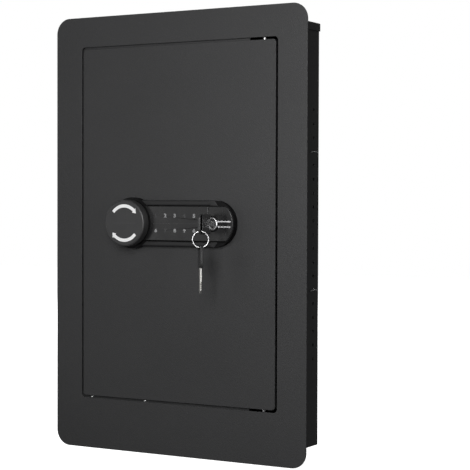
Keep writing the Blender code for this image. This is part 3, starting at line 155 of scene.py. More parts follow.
class Finish:
    """A material whose maps follow the place on the piece, in metres."""

    def __init__(self, name, slot, **fixed):
        self.slot = slot
        self.material = bpy.data.materials.new(name)
        self.material.use_nodes = True
        self.tree = self.material.node_tree
        self.shader = self.tree.nodes["Principled BSDF"]
        for socket, value in fixed.items():
            self.shader.inputs[socket.replace("_", " ")].default_value = value

    def node(self, kind, settings=None, sockets=None, output=0):
        made = self.tree.nodes.new(kind)
        for name, value in (settings or {}).items():
            setattr(made, name, value)
        for key, value in (sockets or {}).items():
            if isinstance(value, Reading):
                self.tree.links.new(value.socket, made.inputs[key])
            else:
                made.inputs[key].default_value = value
        return Reading(self, made.outputs[output])

    def place(self, stretch=(1, 1, 1), shift=(0, 0, 0)):
        spot = self.node("ShaderNodeTexCoord", output="Object")
        return self.node(
            "ShaderNodeMapping", {"vector_type": "POINT"},
            {"Vector": spot, "Scale": stretch, "Location": shift},
        )

    def height(self, axis, shift=(0, 0, 0)):
        """The place along one axis, in metres."""
        spot = self.place(shift=shift)
        return self.node("ShaderNodeSeparateXYZ", None, {0: spot}, "XYZ".index(axis))

    def noise(self, scale, detail=2.0, stretch=(1, 1, 1)):
        return self.node(
            "ShaderNodeTexNoise", None,
            {"Vector": self.place(stretch), "Scale": scale, "Detail": detail, "Roughness": 0.55},
        )

    def cells(self, scale, feature="F1"):
        return self.node(
            "ShaderNodeTexVoronoi", {"feature": feature}, {"Vector": self.place(), "Scale": scale}
        )

    def spread(self, reading, low, high, start=0.3, end=0.7):
        """The reading between start and end drawn out to run from low to high."""
        return self.node(
            "ShaderNodeMapRange", None,
            {"Value": reading, "From Min": start, "From Max": end, "To Min": low, "To Max": high},
        )

    def between(self, share, first, second):
        """A colour that goes from the first to the second."""
        return self.node(
            "ShaderNodeMix", {"data_type": "RGBA"},
            {0: share, 6: self.colour(first), 7: self.colour(second)}, 2,
        )

    def colour(self, value):
        return value if isinstance(value, Reading) else (*value, 1.0)

    def feed(self, socket, value):
        self.tree.links.new(value.socket, self.shader.inputs[socket])
        return self

    def relief(self, height, depth):
        return self.feed(
            "Normal", self.node("ShaderNodeBump", None, {"Distance": depth, "Height": height})
        )

    def on(self, piece):
        piece.data.materials.clear()
        piece.data.materials.append(self.material)

    def keep(self, *names):
        """Puts the finish on solids that keep their own shape."""
        for name in names:
            nodes[name].material_slots[0].material = self.material


powder = Finish("powder_coat", "powder", Metallic=0.0, Specular_IOR_Level=0.42)
cloud = powder.spread(powder.noise(7.0, 3.0), 0.0, 1.0)
speck = powder.spread(powder.noise(1900.0, 1.0), 0.0, 1.0, 0.58, 0.74)
powder.feed("Base Color", powder.between(
    speck * 0.55, powder.between(cloud, (0.0270, 0.0272, 0.0280), (0.0305, 0.0307, 0.0316)),
    (0.060, 0.060, 0.062),
))
peel = powder.noise(620.0, 3.0)
powder.feed("Roughness", powder.spread(peel, 0.46, 0.60))
powder.relief(peel + powder.cells(1500.0, "SMOOTH_F1") * 0.5, 0.00022)
powder.keep("back_panel")

# ---------------------------------------------------------------- Side walls, top cap, bottom plate
# The walls are punched with two rows of holes for the shelf clips. The cap is a sheet folded down
# over the walls, so its skirts stand out at the sides. All are spot welded to the back panel.


def outline(bm, start, *moves):
    """A closed line in the XZ plane. A pair is a straight run to a point, and three numbers are an
    arc round a centre, in degrees, turning from X towards Z."""
    first = last = bm.verts.new((start[0], 0, start[1]))
    for move in moves:
        if len(move) == 2:
            drawn = bmesh.ops.extrude_vert_indiv(bm, verts=[last])
            last = drawn["verts"][0]
            last.co = (move[0], 0, move[1])
        else:
            x, z, degrees = move
            steps = max(3, round(abs(degrees) / 6))
            drawn = bmesh.ops.spin(
                bm, geom=[last], cent=(x, 0, z), axis=(0, -1, 0), dvec=(0, 0, 0),
                angle=math.radians(degrees), steps=steps, use_merge=False, use_duplicate=False,
            )
            last = next(item for item in drawn["geom_last"] if isinstance(item, bmesh.types.BMVert))
    if (last.co - first.co).length < 1e-5:
        bmesh.ops.pointmerge(bm, verts=[first, last], merge_co=first.co)
    else:
        bm.edges.new((last, first))
    return bm


def oblong(bm, x0, x1, z0, z1, corner):
    """A rectangle's outline with round corners."""
    left, right, low, high = x0 + corner, x1 - corner, z0 + corner, z1 - corner
    return outline(
        bm, (left, z0), (right, z0), (right, low, 90), (x1, high), (right, high, 90),
        (left, z1), (left, high, 90), (x0, low), (left, low, 90),
    )


def hole(bm, x, z, radius, sides=24):
    place = Matrix.Translation((x, 0, z)) @ Matrix.Rotation(math.pi / 2, 4, "X")
    bmesh.ops.create_circle(bm, cap_ends=False, radius=radius, segments=sides, matrix=place)


def soften(bm, width, segments=2, where=lambda edge: True):
    """Rounds the sharp edges that pass the test."""
    sharp = math.radians(40)
    edges = [
        edge for edge in bm.edges
        if edge.is_manifold and edge.calc_face_angle(0) > sharp and where(edge)
    ]
    bmesh.ops.bevel(
        bm, geom=edges, offset=width, offset_type="OFFSET", affect="EDGES", segments=segments,
        profile=0.5, material=-1, clamp_overlap=False, loop_slide=True,
    )
    return bm


def thicken(bm, front, rear, edge=0.0, segments=2):
    """Fills the outlines, less the holes inside them, and draws the sheet out to its rear."""
    bmesh.ops.triangle_fill(bm, edges=bm.edges[:], use_beauty=True, use_dissolve=False)
    drawn = bmesh.ops.extrude_face_region(bm, geom=bm.faces[:])
    moved = [item for item in drawn["geom"] if isinstance(item, bmesh.types.BMVert)]
    bmesh.ops.translate(bm, verts=moved, vec=(0, rear - front, 0))
    bmesh.ops.translate(bm, verts=bm.verts, vec=(0, front, 0))
    bmesh.ops.recalc_face_normals(bm, faces=bm.faces)
    return soften(bm, edge, segments) if edge else bm


def piece(name, bm, finish, body, *stands_for, crease=32):
    """Makes the mesh a piece that rides on a body and stands for some of the frame's solids."""
    mesh = bpy.data.meshes.new(name)
    bm.to_mesh(mesh)
    bm.free()
    mesh.shade_smooth()
    mesh.set_sharp_from_angle(angle=math.radians(crease))
    obj = bpy.data.objects.new(name, mesh)
    bpy.context.scene.collection.objects.link(obj)
    even = obj.modifiers.new("even_shading", "WEIGHTED_NORMAL")
    even.keep_sharp = True
    finish.on(obj)
    if stands_for:
        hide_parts(*stands_for)
    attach(obj, body)
    return obj


def quarter_turn(bm):
    """Stands a sheet that was drawn in the XZ plane in the YZ plane."""
    turn = Matrix.Rotation(math.pi / 2, 3, "Z")
    bmesh.ops.rotate(bm, verts=bm.verts, cent=(0, 0, 0), matrix=turn)
    return bm


shelf_hole_radius = 0.002
shelf_hole_pitch = 0.01733
shelf_hole_count = 19
top_hole = 0.1564
hole_rows = (-0.048, -0.0135)
wall_corner, wall_edge = 0.0004, 0.00025
for side_name in ("left", "right"):
    low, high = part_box(f"side_wall_{side_name}")
    wall = oblong(bmesh.new(), low.y, high.y, low.z, high.z, wall_corner)
    for row in hole_rows:
        for step in range(shelf_hole_count):
            hole(wall, row, top_hole - step * shelf_hole_pitch, shelf_hole_radius, 16)
    thicken(wall, -high.x, -low.x, wall_edge, 1)
    piece(f"case_wall_{side_name}", quarter_turn(wall), powder, "case", f"side_wall_{side_name}")

low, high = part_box("top_cap")
cap_sheet = 0.0015
cap_fold = 0.0018
fold_left, fold_right, fold_z = low.x + cap_fold, high.x - cap_fold, high.z - cap_fold
under_left, under_right, under_z = low.x + cap_sheet, high.x - cap_sheet, high.z - cap_sheet
cap = outline(
    bmesh.new(), (low.x, low.z), (low.x, fold_z), (fold_left, fold_z, -90), (fold_right, high.z),
    (fold_right, fold_z, -90), (high.x, low.z), (under_right, low.z), (under_right, under_z),
    (under_left, under_z), (under_left, low.z),
)
piece("case_cap", thicken(cap, low.y, high.y, 0.0003), powder, "case", "top_cap")
powder.keep("bottom_plate")

# ---------------------------------------------------------------- Door jamb, rivets, lower pin
# The jamb is a folded frame welded behind the flange, which the shut door rests against. Two domed
# rivets in it serve as door stops, and its tabs carry the two steel hinge pins.


def spun(profile, axis, centre, steps=48):
    """A turned piece. The profile is (distance from the axis, place along the axis), end to end."""
    bm = bmesh.new()
    along = Vector([1.0 if letter == axis else 0.0 for letter in "XYZ"])
    across = Vector((1, 0, 0)) if axis == "Z" else Vector((0, 0, 1))
    base = Vector(centre) - along * Vector(centre).dot(along)
    verts = [bm.verts.new(base + across * radius + along * place) for radius, place in profile]
    edges = [bm.edges.new(pair) for pair in zip(verts, verts[1:])]
    bmesh.ops.spin(
        bm, geom=verts + edges, cent=base, axis=along, dvec=(0, 0, 0), angle=math.tau, steps=steps,
        use_merge=True, use_duplicate=False,
    )
    bmesh.ops.remove_doubles(bm, verts=bm.verts, dist=1e-6)
    bmesh.ops.recalc_face_normals(bm, faces=bm.faces)
    return bm


def eased(points, radius, steps=4):
    """A profile with its inner corners rounded, by a curve between the runs that meet there."""
    path = [Vector(point) for point in points]
    made = [path[0]]
    for before, corner, after in zip(path, path[1:], path[2:]):
        into, out = before - corner, after - corner
        reach = min(radius, into.length * 0.45, out.length * 0.45)
        start, end = corner + into.normalized() * reach, corner + out.normalized() * reach
        for step in range(steps + 1):
            share = step / steps
            made.append(start.lerp(corner, share).lerp(corner.lerp(end, share), share))
    return [*made, path[-1]]


zinc = Finish("zinc_plate", "zinc", Metallic=1.0)
zinc.feed("Base Color", zinc.between(
    zinc.spread(zinc.cells(420.0), 0.0, 1.0, 0.0, 0.9), (0.72, 0.72, 0.71), (0.58, 0.585, 0.60)
))
zinc.feed("Roughness", zinc.spread(zinc.noise(300.0), 0.20, 0.36))
zinc.relief(zinc.noise(1600.0), 0.00002)
for name in ("stop_rivet_left", "stop_rivet_mid"):
    low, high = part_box(name)
    middle = (low + high) / 2
    head = (high.x - low.x) / 2
    shank = head * 0.63
    dome = 0.0009
    profile = eased([
        (0, low.y), (head * 0.62, low.y + dome * 0.12), (head, low.y + dome * 0.8),
        (head, low.y + dome), (shank, low.y + dome), (shank, high.y - dome),
        (head, high.y - dome), (head * 0.6, high.y), (0, high.y),
    ], 0.0003)
    piece(f"{name}_turned", spun(profile, "Y", middle, 24), zinc, "case", name)

steel = Finish("bare_steel", "bare_steel", Metallic=1.0)
drawn_lines = steel.noise(40.0, 4.0, (30, 30, 1))
steel.feed("Base Color", steel.between(drawn_lines, (0.50, 0.50, 0.51), (0.64, 0.64, 0.64)))
steel.feed("Roughness", steel.spread(drawn_lines, 0.26, 0.42))
steel.relief(drawn_lines, 0.00003)


def turned_pin(name, body, chamfer=0.0006):
    low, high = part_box(name)
    middle = (low + high) / 2
    radius = (high.x - low.x) / 2
    profile = eased([
        (0, low.z), (radius - chamfer, low.z), (radius, low.z + chamfer),
        (radius, high.z - chamfer), (radius - chamfer, high.z), (0, high.z),
    ], 0.0003, 3)
    piece(f"{name}_turned", spun(profile, "Z", middle, 28), steel, body, name)


turned_pin("hinge_pin_bottom", "case")
powder.keep("door_jamb")

# ---------------------------------------------------------------- Front flange
# One laser-cut plate with wide margins that cover the edge of the wall opening. Its corners are
# well rounded and the powder coat runs over its broken edges.

low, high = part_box("front_frame")
flange_corner = 0.020
opening_corner = 0.005
door_low, door_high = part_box("door_plate")
door_gap = 0.003
flange = oblong(bmesh.new(), low.x, high.x, low.z, high.z, flange_corner)
oblong(
    flange, door_low.x - door_gap, door_high.x + door_gap, door_low.z - door_gap,
    door_high.z + door_gap, opening_corner,
)
weld_gap = 0.0001
flange_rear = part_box("side_wall_right")[0].y - weld_gap
thicken(flange, low.y, flange_rear, 0.0004, 3)
piece("front_flange", flange, powder, "case", "front_frame")

# ---------------------------------------------------------------- Shelf clips
# Eight hooks of zinc-plated spring wire. Each is pinched through a hole from outside, so that its
# loop carries the shelf inside and its two arms lie against the outside of the wall.

clip_wire = 0.00075
fit_gap = 0.0003


def bent_wire(name, points, radius, finish, body, *stands_for):
    """Round wire bent smoothly along the points, with closed ends."""
    curve = bpy.data.curves.new(name, "CURVE")
    curve.dimensions = "3D"
    curve.bevel_depth = radius
    curve.bevel_resolution = 3
    curve.use_fill_caps = True
    curve.resolution_u = 6
    spline = curve.splines.new("NURBS")
    spline.points.add(len(points) - 1)
    for point, target in zip(spline.points, points):
        point.co = (*target, 1.0)
    spline.order_u = 4
    spline.use_endpoint_u = True
    obj = bpy.data.objects.new(name, curve)
    bpy.context.scene.collection.objects.link(obj)
    finish.on(obj)
    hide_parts(*stands_for)
    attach(obj, body)
    return obj


for level in ("upper", "lower"):
    for side_name, side in (("left", -1), ("right", 1)):
        for row_name, row in zip(("front", "rear"), hole_rows):
            node = f"shelf_clip_{level}_{side_name}_{row_name}"
            low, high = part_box(node)
            height = high.z - clip_wire
            droop = high.z - low.z - 2 * clip_wire
            arm = (high.y - low.y) / 2 - clip_wire
            inner, outer = sorted((abs(low.x), abs(high.x)))
            inner, outer = inner + clip_wire, outer - clip_wire
            pinch = shelf_hole_radius - clip_wire - fit_gap
            corner = 0.0011
            half = [
                (outer, arm, -droop), (outer, arm * 0.85, -droop * 0.55),
                (outer, arm * 0.6, -droop * 0.1), (outer, pinch + corner * 2.4, 0),
                (outer, pinch + corner * 1.2, 0), (outer - corner * 0.15, pinch + corner * 0.3, 0),
                (outer - corner * 0.9, pinch, 0), (outer - corner * 2, pinch, 0),
                (inner + pinch, pinch, 0), (inner + pinch * 0.1, pinch, 0),
            ]
            bends = [(side * x, row + y, height + z) for x, y, z in half]
            bends += [(side * x, row - y, height + z) for x, y, z in reversed(half)]
            clip_name = f"wire_clip_{level}_{side_name}_{row_name}"
            bent_wire(clip_name, bends, clip_wire, zinc, "case", node)

# ---------------------------------------------------------------- Shelves
# Two loose sheet-steel shelves with a lip folded down at the front, powder coated like the case.
# Each rests on four clips and lifts off them.

shelf_sheet = 0.0012
fold = 0.0020
for level in ("upper", "lower"):
    low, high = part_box(f"shelf_{level}")
    shelf = outline(
        bmesh.new(), (low.y, low.z), (low.y + shelf_sheet, low.z),
        (low.y + shelf_sheet, high.z - fold), (low.y + fold, high.z - fold, -90),
        (low.y + fold, high.z - shelf_sheet), (high.y, high.z - shelf_sheet), (high.y, high.z),
        (low.y + fold, high.z), (low.y + fold, high.z - fold, 90),
    )
    thicken(shelf, -high.x, -low.x, 0.0003, 2)
    piece(f"shelf_sheet_{level}", quarter_turn(shelf), powder, f"{level}_shelf", f"shelf_{level}")

# ---------------------------------------------------------------- Door plate, hinge lugs, upper pin
# The door is a flat 4 mm plate that sits flush in the flange. Two bored lugs are welded to its back
# at the right, and turn on the hinge pins.

lock_low, lock_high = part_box("lock_housing")
lock_z = (lock_low.z + lock_high.z) / 2
knob_low, knob_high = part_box("knob")
knob_x = (knob_low.x + knob_high.x) / 2
knob_radius = (knob_high.x - knob_low.x) / 2
cylinder_low, cylinder_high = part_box("lock_cylinder")
key_x = (cylinder_low.x + cylinder_high.x) / 2
cylinder_radius = (cylinder_high.x - cylinder_low.x) / 2
door_corner = 0.004
spindle_hole = 0.0046
cylinder_hole = cylinder_radius + fit_gap
door = oblong(bmesh.new(), door_low.x, door_high.x, door_low.z, door_high.z, door_corner)
hole(door, knob_x, lock_z, spindle_hole, 32)
hole(door, key_x, lock_z, cylinder_hole, 40)
thicken(door, door_low.y, door_high.y, 0.0005, 3)
piece("door_leaf", door, powder, "door", "door_plate")


def broken_edges(node, width, segments=2):
    """A copy of a solid of the frame with its flat faces whole again and its edges rounded."""
    bm = bmesh.new()
    bm.from_mesh(nodes[node].data)
    bmesh.ops.remove_doubles(bm, verts=bm.verts, dist=2e-6)
    bmesh.ops.dissolve_limit(bm, angle_limit=math.radians(0.5), verts=bm.verts, edges=bm.edges)
    return soften(bm, width, segments)


for name in ("hinge_lug_top", "hinge_lug_bottom"):
    piece(f"{name}_welded", broken_edges(name, 0.0006, 3), powder, "door", name)
turned_pin("hinge_pin_top", "door")

# ---------------------------------------------------------------- Inner cover and its screws
# A folded tray that closes the door's back, with a window for the batteries, a hole for the reset
# button and three holes for the bolts. Four cross-headed screws through its flanges hold it.

piece("door_cover", broken_edges("inner_cover", 0.0004, 2), powder, "door", "inner_cover")


def carve(bm, tool):
    """The mesh less the tool. Both are used up."""
    made = []
    for index, part in enumerate((bm, tool)):
        mesh = bpy.data.meshes.new(f"carve_{index}")
        part.to_mesh(mesh)
        part.free()
        made.append(bpy.data.objects.new(f"carve_{index}", mesh))
        bpy.context.scene.collection.objects.link(made[-1])
    modifier = made[0].modifiers.new("Carve", "BOOLEAN")
    modifier.operation = "DIFFERENCE"
    modifier.solver = "EXACT"
    modifier.object = made[1]
    result = bmesh.new()
    result.from_object(made[0], bpy.context.evaluated_depsgraph_get())
    bmesh.ops.remove_doubles(result, verts=result.verts, dist=1e-6)
    for obj in made:
        mesh = obj.data
        bpy.data.objects.remove(obj, do_unlink=True)
        bpy.data.meshes.remove(mesh)
    return result


def block(bm, x, y, z):
    """A block between the two ends of each of its three spans."""
    spans = [Vector(span) for span in (x, y, z)]
    middle = Matrix.Translation([(low + high) / 2 for low, high in spans])
    size = Matrix.Diagonal([high - low for low, high in spans]).to_4x4()
    bmesh.ops.create_cube(bm, size=1.0, matrix=middle @ size)
    return bm


head_height, thread = 0.0022, 0.0017
cross_depth, cross_half = 0.0012, 0.0004
for index in range(1, 5):
    low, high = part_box(f"cover_screw_{index}")
    middle = (low + high) / 2
    head = (high.x - low.x) / 2
    profile = eased([
        (0, low.y), (thread * 0.7, low.y), (thread, low.y + 0.0005), (thread, high.y - head_height),
        (head, high.y - head_height), (head, high.y - head_height * 0.45), (head * 0.62, high.y),
        (0, high.y),
    ], 0.0006)
    screw = spun(profile, "Y", middle, 32)
    cross_reach = head * 0.55
    for wide, tall in ((cross_reach, cross_half), (cross_half, cross_reach)):
        screw = carve(screw, block(
            bmesh.new(), (middle.x - wide, middle.x + wide), (high.y - cross_depth, high.y + 0.001),
            (middle.z - tall, middle.z + tall),
        ))
    piece(f"cross_screw_{index}", screw, zinc, "door", f"cover_screw_{index}")

# ---------------------------------------------------------------- Boltwork
# Three plated round bolts run through a guide rail and the cover's edge. A flat bar ties them
# together, and its slotted arm is driven by the pin of the knob's cam.

piece("guide_rail", broken_edges("bolt_guide_rail", 0.0003, 1), steel, "door", "bolt_guide_rail")
piece("tie_bar", broken_edges("bolt_bar", 0.0004, 2), steel, "bolts", "bolt_bar")
end_chamfer, lead_length, lead_depth = 0.0004, 0.0016, 0.0015
for name in ("bolt_top", "bolt_middle", "bolt_bottom"):
    low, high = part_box(name)
    radius = (high.z - low.z) / 2
    profile = eased([
        (0, high.x), (radius - end_chamfer, high.x), (radius, high.x - end_chamfer),
        (radius, low.x + lead_length), (radius - lead_depth, low.x), (0, low.x),
    ], 0.0008)
    piece(f"{name}_turned", spun(profile, "X", (low + high) / 2, 48), zinc, "bolts", name)

# ---------------------------------------------------------------- Lock housing and keypad panel
# The housing is one long moulding, round at the knob's end. Its raised band carries the thin glossy
# keypad panel, whose left end is cut to a curve round the knob. The figures are printed in grey.


def moulded(name, specular, dark, light, smooth, rough):
    """A moulded plastic with a fine grain and slightly uneven colour."""
    made = Finish(name, "lock_plastic", Specular_IOR_Level=specular)
    grain = made.noise(2600.0)
    cloud = made.spread(made.noise(60.0), 0.0, 1.0)
    made.feed("Base Color", made.between(cloud, dark, light))
    made.feed("Roughness", made.spread(grain, smooth, rough))
    return made.relief(grain, 0.00004)


plastic = moulded(
    "lock_plastic", 0.45, (0.0300, 0.0300, 0.0307), (0.0340, 0.0340, 0.0348), 0.34, 0.48
)
matt = moulded(
    "matt_plastic", 0.30, (0.0195, 0.0195, 0.0201), (0.0225, 0.0225, 0.0232), 0.42, 0.55
)
# Black plastic for the walls of the housing and the end cap. It is also painted shade: the crescent
# round the knob's foot, the grooves beside the panel, the cap's pockets and the ring round the
# cylinder are made black to look shaded.
black_and_painted_shade = moulded(
    "lock_black_and_painted_shade", 0.16, (0.0028, 0.0028, 0.0030), (0.0042, 0.0042, 0.0045), 0.50, 0.62
)
gloss = Finish("keypad_gloss", "keypad_gloss", Specular_IOR_Level=0.5)
smudge = gloss.spread(gloss.noise(55.0, 4.0), 0.0, 1.0)
gloss.feed("Base Color", gloss.between(smudge, (0.0095, 0.0095, 0.0099), (0.0120, 0.0120, 0.0125)))
gloss.feed("Roughness", gloss.spread(smudge, 0.22, 0.34, 0.0, 1.0))
gloss.relief(gloss.noise(180.0), 0.00001)

panel_low, panel_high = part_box("keypad_panel")
cap_low, cap_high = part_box("end_cap")
end_radius = cap_high.x - key_x
foot_radius = lock_high.z - lock_z
band_half = panel_high.z - lock_z
base_height = 0.0077
base_face = lock_high.y - base_height
skin = 0.0012
seam = panel_high.x
cap_seam = seam + fit_gap
boss_radius = 0.0105
notch_radius = boss_radius + fit_gap
groove = 0.0005
close = 1e-5


def seam_notch(radius, at):
    """Where the seam's line leaves the circle round the cylinder: its height and its angle."""
    half = math.acos((key_x - at) / radius)
    return radius * math.sin(half), math.degrees(half)


def from_key(edge):
    """How far an edge's middle lies from the cylinder's axis."""
    middle = (edge.verts[0].co + edge.verts[1].co) / 2
    return math.hypot(middle.x - key_x, middle.z - lock_z)


def at_front(level, seam_at):
    """Picks the edges from a level forward that lie neither on the seam nor by the boss."""
    def pick(edge):
        on_seam = all(abs(vert.co.x - seam_at) < close for vert in edge.verts)
        in_front = all(vert.co.y < level + close for vert in edge.verts)
        return in_front and not on_seam and from_key(edge) > notch_radius + 0.0002
    return pick


def strip_outline():
    """The two long strips over and under the band, joined round the knob's end."""
    inner = band_half + groove
    behind_knob = knob_x - 0.010
    return outline(
        bmesh.new(), (knob_x, lock_z + end_radius), (knob_x, lock_z, 180),
        (seam, lock_z - end_radius), (seam, lock_z - inner), (behind_knob, lock_z - inner),
        (behind_knob, lock_z + inner), (seam, lock_z + inner), (seam, lock_z + end_radius),
    )


strip_round = 0.0022
strips = thicken(strip_outline(), lock_high.y, base_face)
soften(strips, strip_round, 4, at_front(base_face, seam))
piece("housing_strips", strips, matt, "door", "lock_housing")

# The foot, the collar and the band are black as painted shade, so that the crescent round the knob
# and the grooves beside the panel read dark.
foot_face = base_face + 0.0004
foot = spun(eased([
    (0, lock_high.y), (foot_radius, lock_high.y), (foot_radius, foot_face),
    (foot_radius - 0.0002, foot_face), (0, foot_face),
], 0.0004), "Y", (knob_x, 0, lock_z), 96)
piece("housing_foot", foot, black_and_painted_shade, "door", "lock_housing")
collar_bore, collar_radius = knob_radius - 0.004, foot_radius - 0.0004
collar_face = base_face - 0.0002
collar = spun(eased([
    (collar_bore, foot_face), (collar_radius, foot_face), (collar_radius, collar_face),
    (collar_bore, collar_face), (collar_bore, foot_face),
], 0.0005), "Y", (knob_x, 0, lock_z), 96)
piece("housing_collar", collar, black_and_painted_shade, "door", "lock_housing")

rise, half_angle = seam_notch(notch_radius, seam)
band = outline(
    bmesh.new(), (knob_x, lock_z + band_half), (knob_x, lock_z, 180), (seam, lock_z - band_half),
    (seam, lock_z - rise), (key_x, lock_z, -2 * half_angle), (seam, lock_z + band_half),
)
piece("housing_band", thicken(band, lock_high.y, lock_low.y), black_and_painted_shade, "door", "lock_housing")

panel_arc_radius, panel_edge = knob_radius + 0.0020, 0.0006
reach = math.asin(band_half / panel_arc_radius)
arc_left = knob_x + panel_arc_radius * math.cos(reach)
panel = outline(
    bmesh.new(), (arc_left, lock_z + band_half), (knob_x, lock_z, -2 * math.degrees(reach)),
    (seam, lock_z - band_half), (seam, lock_z - rise), (key_x, lock_z, -2 * half_angle),
    (seam, lock_z + band_half),
)
thicken(panel, panel_low.y, panel_high.y, panel_edge, 4)
piece("keypad_face", panel, gloss, "door", "keypad_panel")


def print_finish(name, shade):
    ink = Finish(name, None, Roughness=0.5)
    wear = ink.spread(ink.noise(900.0), 0.0, 1.0)
    worn_shade = [channel * 0.86 for channel in shade]
    ink.feed("Base Color", ink.between(wear, worn_shade, shade))
    return ink


grey_print = print_finish("grey_print", (0.30, 0.303, 0.307))
light_print = print_finish("light_print", (0.62, 0.62, 0.63))
faint_print = print_finish("faint_print", (0.05, 0.05, 0.052))
# A light grey that stands as a painted highlight on the panel's edge by the seam.
seam_highlight_paint = print_finish("seam_highlight_paint", (0.11, 0.11, 0.112))
white_print = print_finish("white_print", (0.90, 0.90, 0.90))
ink_lift = 0.00006


def printed(name, bm, ink, body):
    """Flat print that faces forward."""
    bmesh.ops.recalc_face_normals(bm, faces=bm.faces)
    wrong = [face for face in bm.faces if face.normal.y > 0]
    bmesh.ops.reverse_faces(bm, faces=wrong)
    return piece(name, bm, ink, body)


def filled_print(name, bm, face, ink, body):
    """Prints the insides of outlines just in front of a face."""
    bmesh.ops.triangle_fill(bm, edges=bm.edges[:], use_beauty=True)
    bmesh.ops.translate(bm, verts=bm.verts, vec=(0, face - ink_lift, 0))
    return printed(name, bm, ink, body)


def figure(bm, text, place, size, width, boldness=0.045):
    """Adds a printed figure, centred on a place. The width is a share of the font's own."""
    curve = bpy.data.curves.new("figure", "FONT")
    curve.body = text
    curve.size = size
    curve.align_x, curve.align_y = "CENTER", "CENTER"
    curve.resolution_u = 4
    curve.offset = size * boldness
    obj = bpy.data.objects.new("figure", curve)
    bpy.context.scene.collection.objects.link(obj)
    drawn = obj.evaluated_get(bpy.context.evaluated_depsgraph_get())
    mesh = bpy.data.meshes.new_from_object(drawn)
    widen = Matrix.Diagonal((width, 1, 1, 1))
    mesh.transform(Matrix.Translation(place) @ widen @ Matrix.Rotation(math.pi / 2, 4, "X"))
    bm.from_mesh(mesh)
    bpy.data.objects.remove(obj)
    bpy.data.curves.remove(curve)
    bpy.data.meshes.remove(mesh)


figure_pitch = 0.01406
figure_size, figure_width = 0.0060, 1.25
first_column = -0.0218
figure_rows = ((0.0095, "12345*"), (-0.0093, "67890#"))
faint_figures = "147"
bright_ink, faint_ink = bmesh.new(), bmesh.new()
for rise, figures in figure_rows:
    for column, text in enumerate(figures):
        target = faint_ink if text in faint_figures else bright_ink
        place = (first_column + column * figure_pitch, panel_low.y - ink_lift, lock_z + rise)
        figure(target, text, place, figure_size, figure_width)
printed("panel_figures", bright_ink, grey_print, "door")
printed("panel_faint_figures", faint_ink, faint_print, "door")
line_left, line_right, line_half = first_column - 0.004, first_column + 0.061, 0.00015
line = oblong(
    bmesh.new(), line_left, line_right, lock_z - line_half, lock_z + line_half, 0.00006
)
filled_print("panel_line", line, panel_low.y, faint_print, "door")
# A painted highlight: a light line down the panel's right edge by the seam, where the edge would
# catch the light.
line_left, line_right = seam - 0.0012, seam - 0.0007
line_low, line_high = lock_z + 0.0102, lock_z + band_half - 0.0008
line = oblong(bmesh.new(), line_left, line_right, line_low, line_high, 0.0001)
filled_print("panel_edge_painted_highlight", line, panel_low.y, seam_highlight_paint, "door")

# ---------------------------------------------------------------- Keypad board
# A glass-epoxy board behind the panel, with touch pads under the figures and tracks between them,
# all under a green mask.

board = Finish("circuit_board", "circuit_board", Roughness=0.5)
tracks = board.cells(190.0, "DISTANCE_TO_EDGE") < 0.06
pads = board.cells(70.0) < 0.16
board.feed("Base Color", board.between(
    tracks.math("MAXIMUM", tracks, pads), (0.012, 0.085, 0.035), (0.045, 0.20, 0.09)
))
board.relief(tracks + pads, 0.00005)
board.keep("keypad_board")

# ---------------------------------------------------------------- End cap
# A separate moulding that closes the housing round the key cylinder, which stands in a recess
# of the glossy face. The recess and the cap's body are black as painted shade. A short light bar is
# printed on the face, with a row of small marks under it.


def cap_outline(radius, half, at, boss, opening=cylinder_hole):
    """The seam's line, bent round the cylinder, a straight top and bottom and a round end."""
    rise, half_angle = seam_notch(boss, at)
    reach = math.asin(min(1.0, half / radius))
    made = outline(
        bmesh.new(), (at, lock_z + half), (at, lock_z + rise), (key_x, lock_z, 2 * half_angle),
        (at, lock_z - half), (key_x + radius * math.cos(reach), lock_z - half),
        (key_x, lock_z, 2 * math.degrees(reach)),
    )
    hole(made, key_x, lock_z, opening, 48)
    return made


# The body is black as painted shade for the pockets over and under the band.
core_seam, core_boss = cap_seam + 0.0002, boss_radius - 0.0002
core = cap_outline(end_radius - 0.0003, end_radius - 0.0004, core_seam, core_boss)
piece("cap_body", thicken(core, cap_high.y, base_face + skin), black_and_painted_shade, "door", "end_cap")
cap_round = 0.0009
inner = band_half + groove
strip_stop = key_x + 0.0050
for end_name, end in (("top", 1), ("bottom", -1)):
    strip_end = outline(
        bmesh.new(), (cap_seam, lock_z + end * inner), (strip_stop, lock_z + end * inner),
        (key_x, lock_z + end * end_radius), (cap_seam, lock_z + end * end_radius),
    )
    thicken(strip_end, base_face + skin, base_face)
    soften(strip_end, cap_round, 3, at_front(base_face, cap_seam))
    piece(f"cap_strip_end_{end_name}", strip_end, matt, "door", "end_cap")
face_rear = cap_low.y + 0.0036
stem = cap_outline(end_radius - 0.0005, band_half - 0.0003, core_seam, core_boss)
piece("cap_stem", thicken(stem, base_face, face_rear), black_and_painted_shade, "door", "end_cap")


def rim_edges(edge):
    """Picks the front edges of the cap's face that stand clear of the boss."""
    in_front = all(vert.co.y < cap_low.y + close for vert in edge.verts)
    return in_front and from_key(edge) > boss_radius + 0.002


recess_radius = boss_radius - 0.0005
recess_lip, recess_floor = cap_low.y + 0.0004, cap_low.y + 0.0018
face = cap_outline(end_radius - 0.0001, band_half, cap_seam, boss_radius, recess_radius)
thicken(face, cap_low.y, face_rear)
soften(face, cap_round, 4, rim_edges)
piece("cap_face", face, gloss, "door", "end_cap")
# The recess is black as painted shade round the cylinder.
recess = spun([
    (recess_radius, recess_lip), (recess_radius - 0.0003, recess_floor),
    (cylinder_hole, recess_floor), (cylinder_hole, face_rear), (recess_radius, face_rear),
    (recess_radius, recess_lip),
], "Y", (key_x, 0, lock_z), 64)
piece("cap_recess", recess, black_and_painted_shade, "door", "end_cap")

